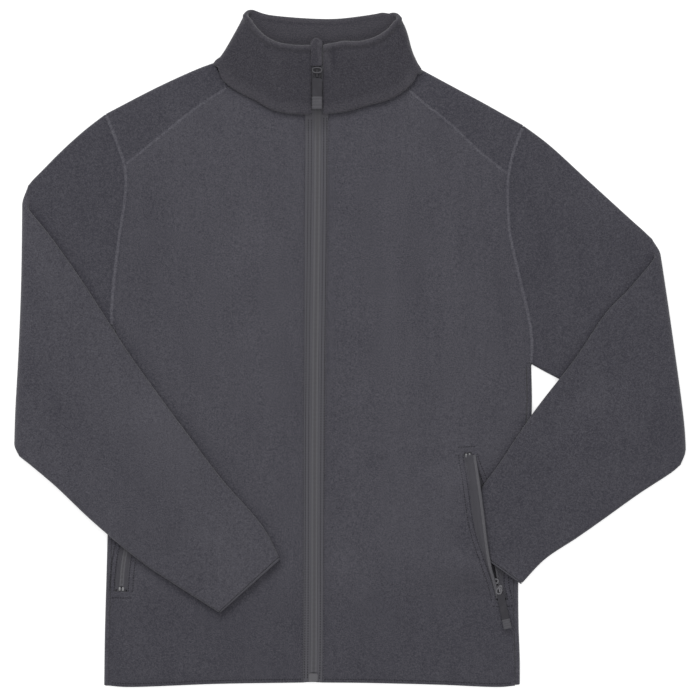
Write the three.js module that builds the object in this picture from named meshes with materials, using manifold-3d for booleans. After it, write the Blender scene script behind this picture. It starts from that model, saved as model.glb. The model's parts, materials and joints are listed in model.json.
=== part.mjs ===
// Fleece zip jacket laid flat on its back, both sleeves folded over at the elbow.
// Millimetres. X runs to the viewer's right, Y towards the collar, Z up from the surface.
// Right and left are the wearer's: the right side is at negative X.
import * as THREE from 'three';
import { mergeVertices } from 'three/addons/utils/BufferGeometryUtils.js';
import Module from 'manifold-3d';

// Driving dimensions
const fleece = 3;
const air = 1.6;
const seam = 0.3;
const collarCloth = 4.5;
const tape = 1.2;
const bagCloth = 1;
const bindingWidth = 3.4;
const sideSeamInset = 1.8;
const pocketLift = 11.4;
const sleeveLift = 5.4;
const mainChain = { halfWidth: 4.4, thick: 3 };
const pocketChain = { halfWidth: 3, thick: 2 };

// Heights of the middle of each layer
const backMid = fleece / 2;
const frontMid = fleece + air + fleece / 2;
const turnRadius = (frontMid - backMid) / 2;
const turnReach = turnRadius + fleece / 2;
const tubeMid = (frontMid + backMid) / 2;
const foldMid = 2 * turnReach + seam / 2;
const foldRadius = seam / 2 + turnReach;
const foldReach = foldRadius + turnReach;
const foldCorner = 4;
const bagMid = fleece + seam + bagCloth / 2;
const pocketZipMid = bagMid + bagCloth / 2 + 2.35;
const collarBackMid = collarCloth / 2;
const collarTurn = { neck: 3.95, rim: 7 };
const rimClimb = { front: -2, back: 7 };

// Materials
const paint = (color, roughness, metalness = 0) => {
  return new THREE.MeshStandardMaterial({ color, roughness, metalness });
};
const fleeceFinish = paint('#4b4a52', 0.95);
const innerFinish = paint('#3f3e45', 0.9);
const trimFinish = paint('#53525a', 0.85);
const tapeFinish = paint('#504f57', 0.8);
const chainFinish = paint('#5a595f', 0.55);
const rubberFinish = paint('#48474d', 0.6);
const metalFinish = paint('#77767b', 0.4, 0.7);

// A smooth plan curve through the rows of a table, travelled from 0 to 1 by length
function curve(rows) {
  const points = rows.map(([x, y]) => new THREE.Vector3(x, y, 0));
  const spline = new THREE.CatmullRomCurve3(points, false, 'centripetal');
  return (t) => {
    const at = spline.getPointAt(THREE.MathUtils.clamp(t, 0, 1));
    return new THREE.Vector2(at.x, at.y);
  };
}

// Curves end to end, meeting at corners. shares holds where each one after the first begins.
function joined(curves, shares) {
  const starts = [0, ...shares, 1];
  return (t) => {
    let piece = 0;
    while (piece < curves.length - 1 && t > starts[piece + 1]) piece += 1;
    const local = (t - starts[piece]) / (starts[piece + 1] - starts[piece]);
    return curves[piece](local);
  };
}

// Straight runs between points, each run taking an equal share of the way
function polyline(points) {
  return (t) => {
    const at = THREE.MathUtils.clamp(t, 0, 1) * (points.length - 1);
    const k = Math.min(Math.floor(at), points.length - 2);
    return points[k].clone().lerp(points[k + 1], at - k);
  };
}

// A curve re-timed to pass the given places at equal steps
function stepped(line, stops) {
  return (t) => {
    const at = THREE.MathUtils.clamp(t, 0, 1) * (stops.length - 1);
    const k = Math.min(Math.floor(at), stops.length - 2);
    return line(THREE.MathUtils.lerp(stops[k], stops[k + 1], at - k));
  };
}

// Part of a curve, travelled from 0 to 1
const stretch = (line, from, to) => (t) => line(THREE.MathUtils.lerp(from, to, t));

// The same curve travelled the other way
const reversed = (line) => (t) => line(1 - t);

// A curve moved a distance to its left, or to its right where the distance is negative
function beside(line, distance) {
  const step = 1e-3;
  return (t) => {
    const before = line(Math.max(t - step, 0));
    const along = line(Math.min(t + step, 1)).sub(before).normalize();
    const reach = typeof distance === 'function' ? distance(t) : distance;
    return line(t).add(new THREE.Vector2(-along.y, along.x).multiplyScalar(reach));
  };
}

// A curve sheared so that it starts and ends at the given points
function pinned(line, start, end) {
  const fromStart = start.clone().sub(line(0));
  const fromEnd = end.clone().sub(line(1));
  return (t) => line(t).addScaledVector(fromStart, 1 - t).addScaledVector(fromEnd, t);
}

// A Coons patch: the mean of the two ruled surfaces less the flat one between the corners.
// near and far run along u at v = 0 and 1; first and last run along v at u = 0 and 1.
function patch(near, far, first, last) {
  const firstPinned = pinned(first, near(0), far(0));
  const lastPinned = pinned(last, near(1), far(1));
  const corner = [near(0), near(1), far(0), far(1)];
  return (u, v) => {
    const point = near(u).multiplyScalar(1 - v).addScaledVector(far(u), v);
    point.addScaledVector(firstPinned(v), 1 - u).addScaledVector(lastPinned(v), u);
    point.addScaledVector(corner[0], -(1 - u) * (1 - v)).addScaledVector(corner[1], -u * (1 - v));
    point.addScaledVector(corner[2], -(1 - u) * v).addScaledVector(corner[3], -u * v);
    return point;
  };
}

// Where along a rising curve a height is reached
function whereAt(line, height) {
  let low = 0;
  let high = 1;
  for (let turn = 0; turn < 30; turn += 1) {
    const middle = (low + high) / 2;
    if (line(middle).y < height) low = middle;
    else high = middle;
  }
  return low;
}

// Where along a curve that runs outwards a width is reached
function whereAcross(line, x, sign) {
  return whereAt((t) => ({ y: sign * line(t).x }), sign * x);
}

// Evenly spaced values from a to b, both included
const spread = (a, b, count) => {
  return Array.from({ length: count + 1 }, (_, i) => a + ((b - a) * i) / count);
};

// Values in order with near repeats dropped
function ordered(values) {
  const sorted = [...values].sort((a, b) => a - b);
  return sorted.filter((value, i) => i === 0 || value - sorted[i - 1] > 1e-4);
}

const raised = (point, height) => new THREE.Vector3(point.x, point.y, height);
const smooth = (x, from, to) => THREE.MathUtils.smoothstep(x, from, to);

// A cloth wall whose middle surface is surface(u, v), standing half its thickness to each side.
// around closes it across u, and missing(i, j) leaves a cell open.
function wall({ surface, across, along, thick = fleece, around = false, missing = () => false }) {
  const step = 1e-3;
  const columns = across.length;
  const rows = along.length;
  const thickness = typeof thick === 'function' ? thick : () => thick;
  const hold = (x, list) => THREE.MathUtils.clamp(x, list[0], list[list.length - 1]);
  const middle = (u, v) => surface(around ? u : hold(u, across), hold(v, along));
  const positions = [];
  const grid = across.map((u) => along.map((v) => middle(u, v)));
  const edgeStep = (from, to) => to.clone().sub(from).setLength(seam / 2);
  const drawn = grid.map((line) => line.map((point) => point.clone()));
  for (let i = 0; i < columns; i += 1) {
    drawn[i][0].add(edgeStep(grid[i][0], grid[i][1]));
    drawn[i][rows - 1].add(edgeStep(grid[i][rows - 1], grid[i][rows - 2]));
  }
  for (let j = 0; j < rows && !around; j += 1) {
    drawn[0][j].add(edgeStep(grid[0][j], grid[1][j]));
    drawn[columns - 1][j].add(edgeStep(grid[columns - 1][j], grid[columns - 2][j]));
  }
  for (let i = 0; i < columns; i += 1) {
    for (let j = 0; j < rows; j += 1) {
      const [u, v] = [across[i], along[j]];
      const overU = middle(u + step, v).sub(middle(u - step, v));
      const overV = middle(u, v + step).sub(middle(u, v - step));
      const normal = overU.cross(overV).setLength(thickness(u, v) / 2);
      for (const side of [1, -1]) {
        const point = drawn[i][j].clone().addScaledVector(normal, side);
        positions.push(point.x, point.y, point.z);
      }
    }
  }
  const cells = around ? columns : columns - 1;
  const vertex = (i, j, side) => 2 * ((i % columns) * rows + j) + side;
  const present = (i, j) => {
    const wrapped = around ? (i + cells) % cells : i;
    return wrapped >= 0 && wrapped < cells && j >= 0 && j < rows - 1 && !missing(wrapped, j);
  };
  const faces = [];
  const quad = (a, b, c, d) => faces.push(a, b, c, a, c, d);
  for (let i = 0; i < cells; i += 1) {
    for (let j = 0; j < rows - 1; j += 1) {
      if (!present(i, j)) continue;
      const corners = [[i, j], [i + 1, j], [i + 1, j + 1], [i, j + 1]];
      const [a, b, c, d] = corners.map(([x, y]) => vertex(x, y, 0));
      quad(a, b, c, d);
      const [e, f, g, h] = corners.map(([x, y]) => vertex(x, y, 1));
      quad(h, g, f, e);
      const neighbours = [[i, j - 1], [i + 1, j], [i, j + 1], [i - 1, j]];
      neighbours.forEach(([x, y], k) => {
        if (present(x, y)) return;
        const [from, to] = [corners[k], corners[(k + 1) % 4]];
        quad(vertex(...to, 0), vertex(...from, 0), vertex(...from, 1), vertex(...to, 1));
      });
    }
  }
  const used = [...new Set(faces)].sort((a, b) => a - b);
  const place = new Map(used.map((old, i) => [old, i]));
  const geometry = new THREE.BufferGeometry();
  const kept = used.flatMap((old) => positions.slice(3 * old, 3 * old + 3));
  geometry.setAttribute('position', new THREE.Float32BufferAttribute(kept, 3));
  geometry.setIndex(faces.map((old) => place.get(old)));
  geometry.computeVertexNormals();
  return geometry;
}

const jacket = new THREE.Group();

function add(name, geometry, finish) {
  const mesh = new THREE.Mesh(geometry, finish);
  mesh.name = name;
  jacket.add(mesh);
  return mesh;
}

// Outlines and seams of each side, seen from above. Columns: x, y.
const sides = {
  right: {
    sign: -1,
    shoulder: [[-152.5, 324], [-169, 318], [-214.5, 297.5], [-275.5, 266]],
    sleeveTop: [[-275.5, 266], [-298, 247.5], [-322.5, 224], [-342.5, 202.5], [-358.1, 186]],
    foldEdge: [[-369.5, 190], [-370, 120], [-371, 68], [-374, -7.5], [-377.5, -71], [-378.5, -104],
      [-379, -126]],
    foldEnds: { under: [186, -107], over: [157, -121.5] },
    underarm: [[-268.5, 26.5], [-322.5, -42.5], [-367.1, -107]],
    outer: [[-367.6, -121.5], [-351.5, -134], [-325.5, -156.5], [-288.5, -192.5], [-231, -241.5],
      [-193.5, -267], [-146, -297.5]],
    inner: [[-358.2, 157], [-342.5, 137], [-301, 78], [-248, -4.5], [-184.5, -92], [-143, -147],
      [-98, -199.5], [-78, -237]],
    cuff: [[-78, -237], [-146, -297.5]],
    armhole: [[-275.5, 266], [-267, 245.5], [-260, 226], [-254, 207.5], [-252.5, 193.5],
      [-253.5, 171], [-261.5, 115.5], [-268, 55.5], [-268.5, 26.5]],
    armholeJoin: 207.5,
    yokeSeam: [[-135, 297.5], [-174.5, 271.5], [-216, 238.5], [-254, 207.5]],
    yokeBackSeam: [[-128, 307], [-174.5, 271.5], [-216, 238.5], [-254, 207.5]],
    side: [[-277.3, -380], [-276.5, -320.5], [-273.5, -208], [-272, -91], [-269.7, 25]],
    neck: [[-49.5, 268.5], [-59.5, 268.5], [-86, 273.5], [-106.5, 285], [-123.5, 293.5], [-135, 297.5]],
    neckSide: [[-135, 297.5], [-140.5, 306.5], [-149.5, 314], [-153, 320]],
    hem: [[-52, -376.5], [-148.5, -378], [-252.5, -381.5], [-272, -380]],
    centre: [[-52, -376.5], [-51, -60], [-49.5, 268.5]],
    collarCentre: [[-49.5, 268.5], [-45.5, 343]],
    collarSide: [[-151, 325.5], [-144.5, 332.5], [-126.5, 363], [-118.5, 379]],
    rim: [[-45.5, 343], [-65, 343.5], [-82.5, 347], [-96, 354.5], [-106, 365], [-110.5, 374]],
    pocketFront: [[-256, -381.5], [-251.5, -275], [-246, -226.5], [-223.5, -159], [-209.5, -115],
      [-200, 0], [-203, 120], [-211, 242]],
    pocketSide: [[-266, -381], [-264.5, -275], [-259, -226.5], [-236.5, -159], [-222.5, -115],
      [-206, 0], [-209, 120], [-217, 237.5]],
    pocket: { low: -274, high: -115 },
    bag: [[-200, -105], [-90, -100], [-90, -335], [-262, -335]],
  },
  left: {
    sign: 1,
    shoulder: [[80.5, 316.5], [126, 292], [147.5, 280.5], [196.5, 253]],
    sleeveTop: [[196.5, 253], [223, 232.5], [264.5, 193.5], [321, 140.5], [337, 126.5]],
    foldEdge: [[347.5, 130], [353.5, 92], [359, 55.5], [367.5, -4], [375.5, -63], [379.5, -101],
      [380, -136]],
    foldEnds: { under: [125.5, -108], over: [103, -131] },
    underarm: [[205, -16.5], [235.5, -33], [305.5, -66.5], [368.2, -108]],
    outer: [[368.6, -131], [361, -137.5], [321, -164.5], [283, -192.5], [254.5, -213],
      [219.5, -237], [193.5, -265]],
    inner: [[340.4, 103], [337, 97.5], [313.5, 69], [289.5, 44], [255, -7.5], [206.5, -71],
      [166.5, -131.5], [148.5, -156.5], [123.5, -215.5]],
    cuff: [[123.5, -215.5], [193.5, -265]],
    armhole: [[196.5, 253], [187, 228.5], [179.5, 197], [178.5, 171], [181, 131.5], [194, 72.5],
      [202, 37.5], [206, 8], [205, -16.5]],
    armholeJoin: 197,
    yokeSeam: [[64, 296], [79.5, 281.5], [114, 254.5], [143.5, 226], [179.5, 197]],
    yokeBackSeam: [[55, 304], [118, 249], [179.5, 197]],
    side: [[192.5, -379], [192.5, -351], [191, -304.5], [191.5, -238], [199.5, -147.5], [206, -71],
      [205.5, -18]],
    neck: [[-24.5, 268], [-2.5, 272], [21, 279], [39.5, 283.5], [57, 292.5], [64, 296]],
    neckSide: [[64, 296], [70.5, 305], [80.5, 315.5]],
    hem: [[-31, -376.5], [23, -377], [102, -379], [170, -381.5], [187, -380]],
    centre: [[-31, -376.5], [-28, -60], [-24.5, 268]],
    collarCentre: [[-24.5, 268], [-23.5, 342.5]],
    collarSide: [[80.5, 316.5], [71.5, 335.5], [64.5, 360], [57.5, 375.5]],
    rim: [[-23.5, 342.5], [-8, 347.5], [10.5, 347.5], [28, 352], [43, 361.5], [50, 371]],
    pocketFront: [[163, -381], [166.5, -283], [163, -266], [152.5, -235.5], [141.5, -200.5],
      [133.5, -145.5], [129.5, -117], [131, 0], [137, 120], [146, 223.5]],
    pocketSide: [[175, -381], [177, -283], [173.5, -267], [173, -245], [171, -222], [165, -200],
      [147.5, -145.5], [137.5, -117], [137, 0], [143, 120], [152, 217.5]],
    pocket: { low: -283, high: -117 },
    bag: [[140, -100], [20, -95], [20, -335], [182, -335]],
  },
};

const backNeck = curve([[-128, 307], [-78.5, 299.5], [-35.5, 297.5], [7.5, 298.5], [55, 304]]);
const backRim = curve([[-107.3, 380.8], [-99, 378], [-91, 376.3], [-48, 373], [-13, 373], [30, 378], [38, 379.2],
  [46.2, 378.1]]);

// How high the open pocket's front lip is carried by the cuff that is tucked under it
function lipLift(x, y) {
  const along = smooth(y, -264, -246) * (1 - smooth(y, -154, -124));
  return pocketLift * along * smooth(x, 30, 118);
}

// How far the tucked pocket pull and slider raise the forearm that lies on them
const hiddenZip = { low: new THREE.Vector2(-232, -165), high: new THREE.Vector2(-216, -120) };
function sleeveBulge(side, point) {
  if (side.sign > 0) return 0;
  const span = hiddenZip.high.clone().sub(hiddenZip.low);
  const share = point.clone().sub(hiddenZip.low).dot(span) / span.lengthSq();
  const nearest = hiddenZip.low.clone().addScaledVector(span, THREE.MathUtils.clamp(share, 0, 1));
  return sleeveLift * (1 - smooth(point.distanceTo(nearest), 30, 78));
}

// Stations up each side where the panels' and sleeves' edges meet: the hem, the pocket's ends and
// middle, one above, the underarm, and then evenly up the armhole to the yoke
const armSteps = 6;
const yokeSteps = 2;
function stations(side) {
  const edge = curve(side.side);
  const armhole = curve(side.armhole);
  const { low, high } = side.pocket;
  const underarm = side.side[side.side.length - 1][1];
  const heights = [side.side[0][1], low, (low + high) / 2, high, (high + underarm) / 2, underarm];
  const join = 1 - whereAt(reversed(armhole), side.armholeJoin);
  const inset = turnReach / armhole(0).distanceTo(armhole(1));
  const armStops = spread(1 - inset, join, armSteps);
  const shoulderStops = spread(join, inset, yokeSteps);
  const onSide = heights.map((y) => edge(whereAt(edge, y)));
  const onArm = armStops.map((t) => armhole(t));
  const onShoulder = shoulderStops.map((t) => armhole(t));
  return { heights, onSide, onArm, onShoulder, armStops, shoulderStops, inset };
}

// The panel edge through a side's stations, its side part moved in towards the body
function stationEdge(side, moved) {
  const { onSide, onArm } = stations(side);
  const shifted = onSide.map((point) => new THREE.Vector2(point.x - side.sign * moved, point.y));
  return polyline([...shifted, ...onArm]);
}

// A smooth curve re-timed so that it passes its stations' heights in step with the side edge
function timed(line, side) {
  const { heights, onArm } = stations(side);
  const stops = heights.map((y) => whereAt(line, y));
  stops[0] = 0;
  const last = stops[stops.length - 1];
  const above = spread(last, 1, onArm.length).slice(1);
  return stepped(line, [...stops, ...above]);
}

const stationCount = 5 + 1 + armSteps;

// Steps that the upper and lower half of each pocket's opening are cut into
const pocketSteps = { right: 3, left: 5 };

// Rows between stations: how many steps each interval from the hem up is cut into
const rowsFrom = (steps) => {
  return ordered(steps.flatMap((count, k) => {
    return spread(k / stationCount, (k + 1) / stationCount, count);
  }));
};

// A front's lower and upper edges, and where the two lines along its pocket's edges meet them
const neckShare = 0.42;
function frontLines(side) {
  const hem = curve(side.hem);
  const top = joined([curve(side.neck), curve(side.yokeSeam)], [neckShare]);
  const rough = [side.pocketFront, side.pocketSide].map((rows) => timed(curve(rows), side));
  const cuts = (line, end) => rough.map((edge) => whereAcross(line, edge(end).x, side.sign));
  const hemCuts = cuts(hem, 0);
  const topCuts = cuts(top, 1);
  const [pocketFront, pocketSide] = rough.map((line, k) => pinned(line, hem(hemCuts[k]), top(topCuts[k])));
  return { hem, top, pocketFront, pocketSide, hemCuts: [0, ...hemCuts, 1], topCuts: [0, ...topCuts, 1] };
}

// Front panel: hem to neck and yoke seam, zip edge to side seam and armhole, open at the pocket
function frontPanel(name, side) {
  const { hem, top, pocketFront, pocketSide, hemCuts, topCuts } = frontLines(side);
  const centre = timed(curve(side.centre), side);
  const outer = stationEdge(side, turnReach + sideSeamInset);
  const edges = [centre, pocketFront, pocketSide, outer];
  const patches = [0, 1, 2].map((k) => {
    const near = stretch(hem, hemCuts[k], hemCuts[k + 1]);
    const far = stretch(top, topCuts[k], topCuts[k + 1]);
    return patch(near, far, edges[k], edges[k + 1]);
  });
  const surface = (u, v) => {
    const k = Math.min(Math.floor(u), 2);
    const point = patches[k](u - k, v);
    const lift = side.sign > 0 && u < 1.5 ? lipLift(point.x, point.y) : 0;
    return raised(point, frontMid + lift);
  };
  const corner = neckShare / topCuts[1];
  const across = ordered([...spread(0, corner, 4), ...spread(corner, 1, 5), 2, ...spread(2, 3, 2)]);
  const along = rowsFrom([1, pocketSteps[name], pocketSteps[name], ...Array(stationCount - 3).fill(1)]);
  const slit = across.indexOf(1);
  const missing = (i, j) => {
    const row = along[j] * stationCount;
    return i === slit && row > 1 - 1e-6 && row < 3 - 1e-6;
  };
  return wall({ surface, across, along, missing });
}

// Back panel: flat under the fronts, its sides turned up round them to the side seams
function backPanel(right, left) {
  const edgeRight = stationEdge(right, turnReach);
  const edgeLeft = stationEdge(left, turnReach);
  const seams = [reversed(curve(right.yokeBackSeam)), backNeck, curve(left.yokeBackSeam)];
  const hemRows = [edgeRight(0).toArray(), [-148.5, -378], [-40, -376.5], [102, -379],
    edgeLeft(0).toArray()];
  const flat = patch(curve(hemRows), joined(seams, [0.3, 0.7]), edgeRight, edgeLeft);
  const surface = (u, v) => {
    if (u >= 2 && u <= 3) return raised(flat(u - 2, v), backMid);
    const onRight = u < 2;
    const edge = flat(onRight ? 0 : 1, v);
    const out = onRight ? -1 : 1;
    const turn = onRight ? 2 - u : u - 3;
    if (turn <= 1) {
      edge.x += out * turnRadius * Math.sin(turn * Math.PI);
      return raised(edge, tubeMid - turnRadius * Math.cos(turn * Math.PI));
    }
    edge.x -= out * sideSeamInset * (turn - 1);
    return raised(edge, frontMid);
  };
  const across = ordered([0, ...spread(1, 2, 4), ...spread(2, 2.3, 5), ...spread(2.3, 2.7, 5),
    ...spread(2.7, 3, 5), ...spread(3, 4, 4), 5]);
  const turnEnd = 5 / stationCount - 0.002;
  const along = ordered([...rowsFrom(Array(stationCount).fill(1)), turnEnd]);
  const missing = (i, j) => {
    const turned = across[i] < 2 - 1e-6 || across[i] > 3 - 1e-6;
    return turned && along[j] > turnEnd - 1e-6;
  };
  return wall({ surface, across, along, missing });
}

// Shoulder yoke: from the front seam over the shoulder edge to the back seam
function yoke(side) {
  const { onShoulder } = stations(side);
  const armEdge = polyline(onShoulder);
  const outline = beside(curve(side.shoulder), side.sign * -turnReach);
  const shoulder = pinned(outline, outline(0), armEdge(1));
  const neckSide = curve(side.neckSide);
  const neckEdge = pinned(neckSide, neckSide(0), shoulder(0));
  const front = patch(neckEdge, armEdge, curve(side.yokeSeam), shoulder);
  const backCorner = side.yokeBackSeam[0];
  const backNeckEdge = curve([shoulder(0).toArray(), backCorner]);
  const back = patch(backNeckEdge, reversed(armEdge), shoulder, curve(side.yokeBackSeam));
  const armOut = armEdge(1).sub(armEdge(0.9)).normalize();
  const outward = (v) => {
    const before = shoulder(Math.max(v - 0.01, 0));
    const step = shoulder(Math.min(v + 0.01, 1)).sub(before).normalize();
    const across = new THREE.Vector2(-step.y, step.x).multiplyScalar(side.sign);
    return across.lerp(armOut, smooth(v, 0.7, 1)).setLength(turnRadius);
  };
  const surface = (u, v) => {
    if (u <= 1) return raised(front(u, v), frontMid);
    if (u >= 2) return raised(back(u - 2, v), backMid);
    const turn = (u - 1) * Math.PI;
    const point = shoulder(v).addScaledVector(outward(v), Math.sin(turn));
    return raised(point, tubeMid + turnRadius * Math.cos(turn));
  };
  const across = ordered([...spread(0, 1, yokeSteps), ...spread(1, 2, 5), ...spread(2, 3, yokeSteps)]);
  return wall({ surface, across, along: spread(0, 1, 8) });
}

// Sleeve as a flattened tube. s runs from the armhole (0) to the elbow fold (1), round the fold
// (2) and down the forearm to the cuff (3); the loop position u goes once round the tube.
function sleeveSurface(side) {
  const foldLine = curve(side.foldEdge.map(([x, y]) => [x - side.sign * foldReach, y]));
  const foldPlace = (height) => whereAt((t) => ({ y: -foldLine(t).y }), -height);
  const foldPart = ([top, bottom]) => stretch(foldLine, foldPlace(top), foldPlace(bottom));
  const foldUnder = foldPart(side.foldEnds.under);
  const foldOver = foldPart(side.foldEnds.over);
  const armhole = curve(side.armhole);
  const upper = patch(armhole, foldUnder, curve(side.sleeveTop), curve(side.underarm));
  const lower = patch(foldOver, curve(side.cuff), curve(side.inner), curve(side.outer));
  const ribbon = (s, t) => {
    if (s <= 1) return upper(t, s);
    if (s >= 2) return lower(t, s - 2);
    return foldUnder(t).lerp(foldOver(t), s - 1);
  };
  // The way the rim's half-round turns: square to the sleeve's edge, but along a seam or the fold
  // at their ends
  const rimWay = (s, t, held, ahead) => {
    const part = s > 2 ? s - 2 : s;
    const free = s > 1 && s < 2 ? 0 : smooth(part, 0, 0.12) * (1 - smooth(part, 0.88, 1));
    if (free === 0) return ahead;
    const low = s > 2 ? 2 : 0;
    const edge = ribbon(Math.min(s + 0.01, low + 1), held).sub(ribbon(Math.max(s - 0.01, low), held));
    const square = new THREE.Vector2(-edge.y, edge.x).normalize();
    if (square.dot(ahead) < 0) square.negate();
    return square.lerp(ahead, 1 - free).normalize();
  };
  const place = (s, t, rise, out) => {
    const width = ribbon(s, 1).distanceTo(ribbon(s, 0));
    const turn = THREE.MathUtils.clamp(s - 1, 0, 1) * Math.PI;
    const inset = (turnReach + foldCorner * Math.sin(turn)) / width;
    const held = inset + t * (1 - 2 * inset);
    const before = ribbon(s, Math.max(held - 0.01, 0));
    const ahead = ribbon(s, Math.min(held + 0.01, 1)).sub(before).normalize();
    const point = ribbon(s, held).addScaledVector(rimWay(s, t, held, ahead), out);
    const radius = foldRadius - rise;
    const away = new THREE.Vector2(-ahead.y, ahead.x);
    if (away.x * side.sign < 0) away.negate();
    point.addScaledVector(away, radius * Math.sin(turn));
    const lift = s > 2 ? sleeveBulge(side, point) * smooth(s, 2, 2.2) : 0;
    return raised(point, foldMid - radius * Math.cos(turn) + lift);
  };
  return (u, s) => {
    const loop = ((u % 1) + 1) % 1;
    const half = loop < 0.5 ? 1 : -1;
    const part = (loop < 0.5 ? loop : loop - 0.5) / 0.45;
    const t = half > 0 ? Math.min(part, 1) : 1 - Math.min(part, 1);
    if (part <= 1) return place(s, t, half * turnRadius, 0);
    const angle = ((part - 1) * 0.45 * Math.PI) / 0.05;
    const rise = half * turnRadius * Math.cos(angle);
    return place(s, t, rise, half * turnRadius * Math.sin(angle));
  };
}

// Loop positions whose points meet the stations of the panels and the yoke at the armhole
function loopSteps(side) {
  const { armStops, shoulderStops, inset } = stations(side);
  const flat = ordered([...armStops, ...shoulderStops].map((t) => (t - inset) / (1 - 2 * inset)));
  const turn = [0.4625, 0.475, 0.4875];
  const under = flat.map((t) => 0.5 + 0.45 * (1 - t));
  return ordered([...flat.map((t) => 0.45 * t), ...turn, ...under, ...turn.map((u) => u + 0.5)]);
}

function sleeve(name, side) {
  const surface = sleeveSurface(side);
  const across = loopSteps(side);
  const inner = curve(side.inner);
  const bindingStart = 3 - bindingWidth / inner(0).distanceTo(inner(1));
  const along = ordered([...spread(0, 1, 5), ...spread(1, 2, 6), ...spread(2, bindingStart, 9)]);
  add(`sleeve_${name}`, wall({ surface, across, along, around: true }), fleeceFinish);
  const ring = wall({ surface, across, along: [bindingStart, 3], around: true });
  add(`cuff_binding_${name}`, ring, trimFinish);
}

// Stand collar: front part, side turn, back part, side turn, front part, open at the zip
function collar(right, left) {
  const turnAt = (v) => THREE.MathUtils.lerp(collarTurn.neck, collarTurn.rim, v);
  const reachAt = (v) => turnAt(v) + collarCloth / 2;
  const sideLine = (side) => beside(curve(side.collarSide), (v) => side.sign * reachAt(v));
  const heading = (line, v) => line(Math.min(v + 0.01, 1)).sub(line(Math.max(v - 0.01, 0))).normalize();
  // Round the turn the rim climbs from the front part to the back part. share is the way round.
  const climb = (v, share) => {
    return THREE.MathUtils.lerp(rimClimb.front, rimClimb.back, share) * smooth(v, 0.5, 1);
  };
  const climbed = (line, share) => (v) => line(v).addScaledVector(heading(line, v), climb(v, share));
  const frontPart = (side) => {
    const neckRows = [...side.neck, ...side.neckSide.slice(1, -1)];
    const line = climbed(sideLine(side), 0);
    const neck = curve([...neckRows, line(0).toArray()]);
    return patch(neck, curve([...side.rim.slice(0, -1), line(1).toArray()]), curve(side.collarCentre), line);
  };
  const lines = { right: sideLine(right), left: sideLine(left) };
  const parts = { right: frontPart(right), left: frontPart(left) };
  const backLow = curve([lines.right(0).toArray(), [-128, 308.5], [-78.5, 300.5], [-35.5, 298.5],
    [7.5, 299.5], [55, 305.5], lines.left(0).toArray()]);
  const behind = { right: climbed(lines.right, 1), left: climbed(lines.left, 1) };
  const backTop = pinned(backRim, behind.right(1), behind.left(1));
  const back = patch(backLow, backTop, behind.right, behind.left);
  const surface = (u, v) => {
    const frontHeight = collarBackMid + 2 * turnAt(v);
    if (u <= 1) return raised(parts.right(u, v), frontHeight);
    if (u >= 4) return raised(parts.left(5 - u, v), frontHeight);
    if (u >= 2 && u <= 3) return raised(back(u - 2, v), collarBackMid);
    const onRight = u < 2;
    const line = onRight ? lines.right : lines.left;
    const turn = (onRight ? u - 1 : 4 - u) * Math.PI;
    const out = new THREE.Vector2(-heading(line, v).y, heading(line, v).x).multiplyScalar(onRight ? 1 : -1);
    const point = climbed(line, (1 - Math.cos(turn)) / 2)(v);
    point.addScaledVector(out, turnAt(v) * Math.sin(turn));
    return raised(point, collarBackMid + turnAt(v) * (1 + Math.cos(turn)));
  };
  const across = ordered([...spread(0, 1, 8), ...spread(1, 2, 6), ...spread(2, 3, 9), ...spread(3, 4, 6),
    ...spread(4, 5, 8)]);
  return wall({ surface, across, along: spread(0, 1, 8), thick: collarCloth });
}

// Middle height of the centre zip: level down the fronts, rising with the collar
const neckHeight = 268;
const rimHeight = 343;
const collarSlope = (2 * (collarTurn.rim - collarTurn.neck)) / (rimHeight - neckHeight);
function zipMid(y) {
  const onCollar = collarBackMid + 2 * collarTurn.neck + collarSlope * (y - neckHeight);
  return THREE.MathUtils.lerp(frontMid, onCollar, smooth(y, neckHeight - 22, neckHeight + 2));
}

// Centre line of the main zip from its retainer to the rim
const zipLine = curve([[-41, -376], [-40.5, -367], [-39, -57], [-36, 247.5], [-36.5, 315], [-36, 343]]);
const zipRows = ordered([...spread(0, 0.86, 12), ...spread(0.86, 1, 8)]);

function zipTape(side) {
  const body = curve(side.centre);
  const collarEdge = curve(side.collarCentre);
  const share = (neckHeight + 376.5) / (rimHeight + 376.5);
  const edge = joined([body, collarEdge], [share]);
  const inner = beside(zipLine, -side.sign * (mainChain.halfWidth + seam));
  const surface = (u, v) => {
    const point = edge(v).lerp(inner(v), u);
    return raised(point, zipMid(point.y));
  };
  return wall({ surface, across: [0, 1], along: zipRows, thick: tape });
}

// A closed run of coils: two low ridges with a groove between them
function coilRun(line, rows, chain, height) {
  const surface = (u, v) => {
    const point = beside(line, chain.halfWidth * (1 - 2 * u))(v);
    return raised(point, height(point));
  };
  const profile = [
    { u: 0, thick: 0.6 },
    { u: 0.25, thick: 1 },
    { u: 0.5, thick: 0.7 },
    { u: 0.75, thick: 1 },
    { u: 1, thick: 0.6 },
  ];
  const thick = (u) => chain.thick * profile.find((row) => row.u >= u - 1e-6).thick;
  return wall({ surface, across: profile.map((row) => row.u), along: rows, thick });
}

// A solid plate from a plan outline, from one height to another
function plate(outline, from, to, hole) {
  const shape = new THREE.Shape(outline.map(([x, y]) => new THREE.Vector2(x, y)));
  if (hole) shape.holes.push(new THREE.Path(hole.map(([x, y]) => new THREE.Vector2(x, y))));
  const geometry = new THREE.ExtrudeGeometry(shape, { depth: to - from, bevelEnabled: false });
  return geometry.translate(0, 0, from);
}

// Outline of a rectangle with cut corners, tapering from its lower to its upper width
function tabOutline(low, high, lowWidth, highWidth, cut) {
  const rightSide = [
    [lowWidth / 2 - cut, low],
    [lowWidth / 2, low + cut],
    [highWidth / 2, high - cut],
    [highWidth / 2 - cut, high],
  ];
  const leftSide = rightSide.map(([x, y]) => [-x, y]).reverse();
  return [...rightSide, ...leftSide];
}

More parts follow.
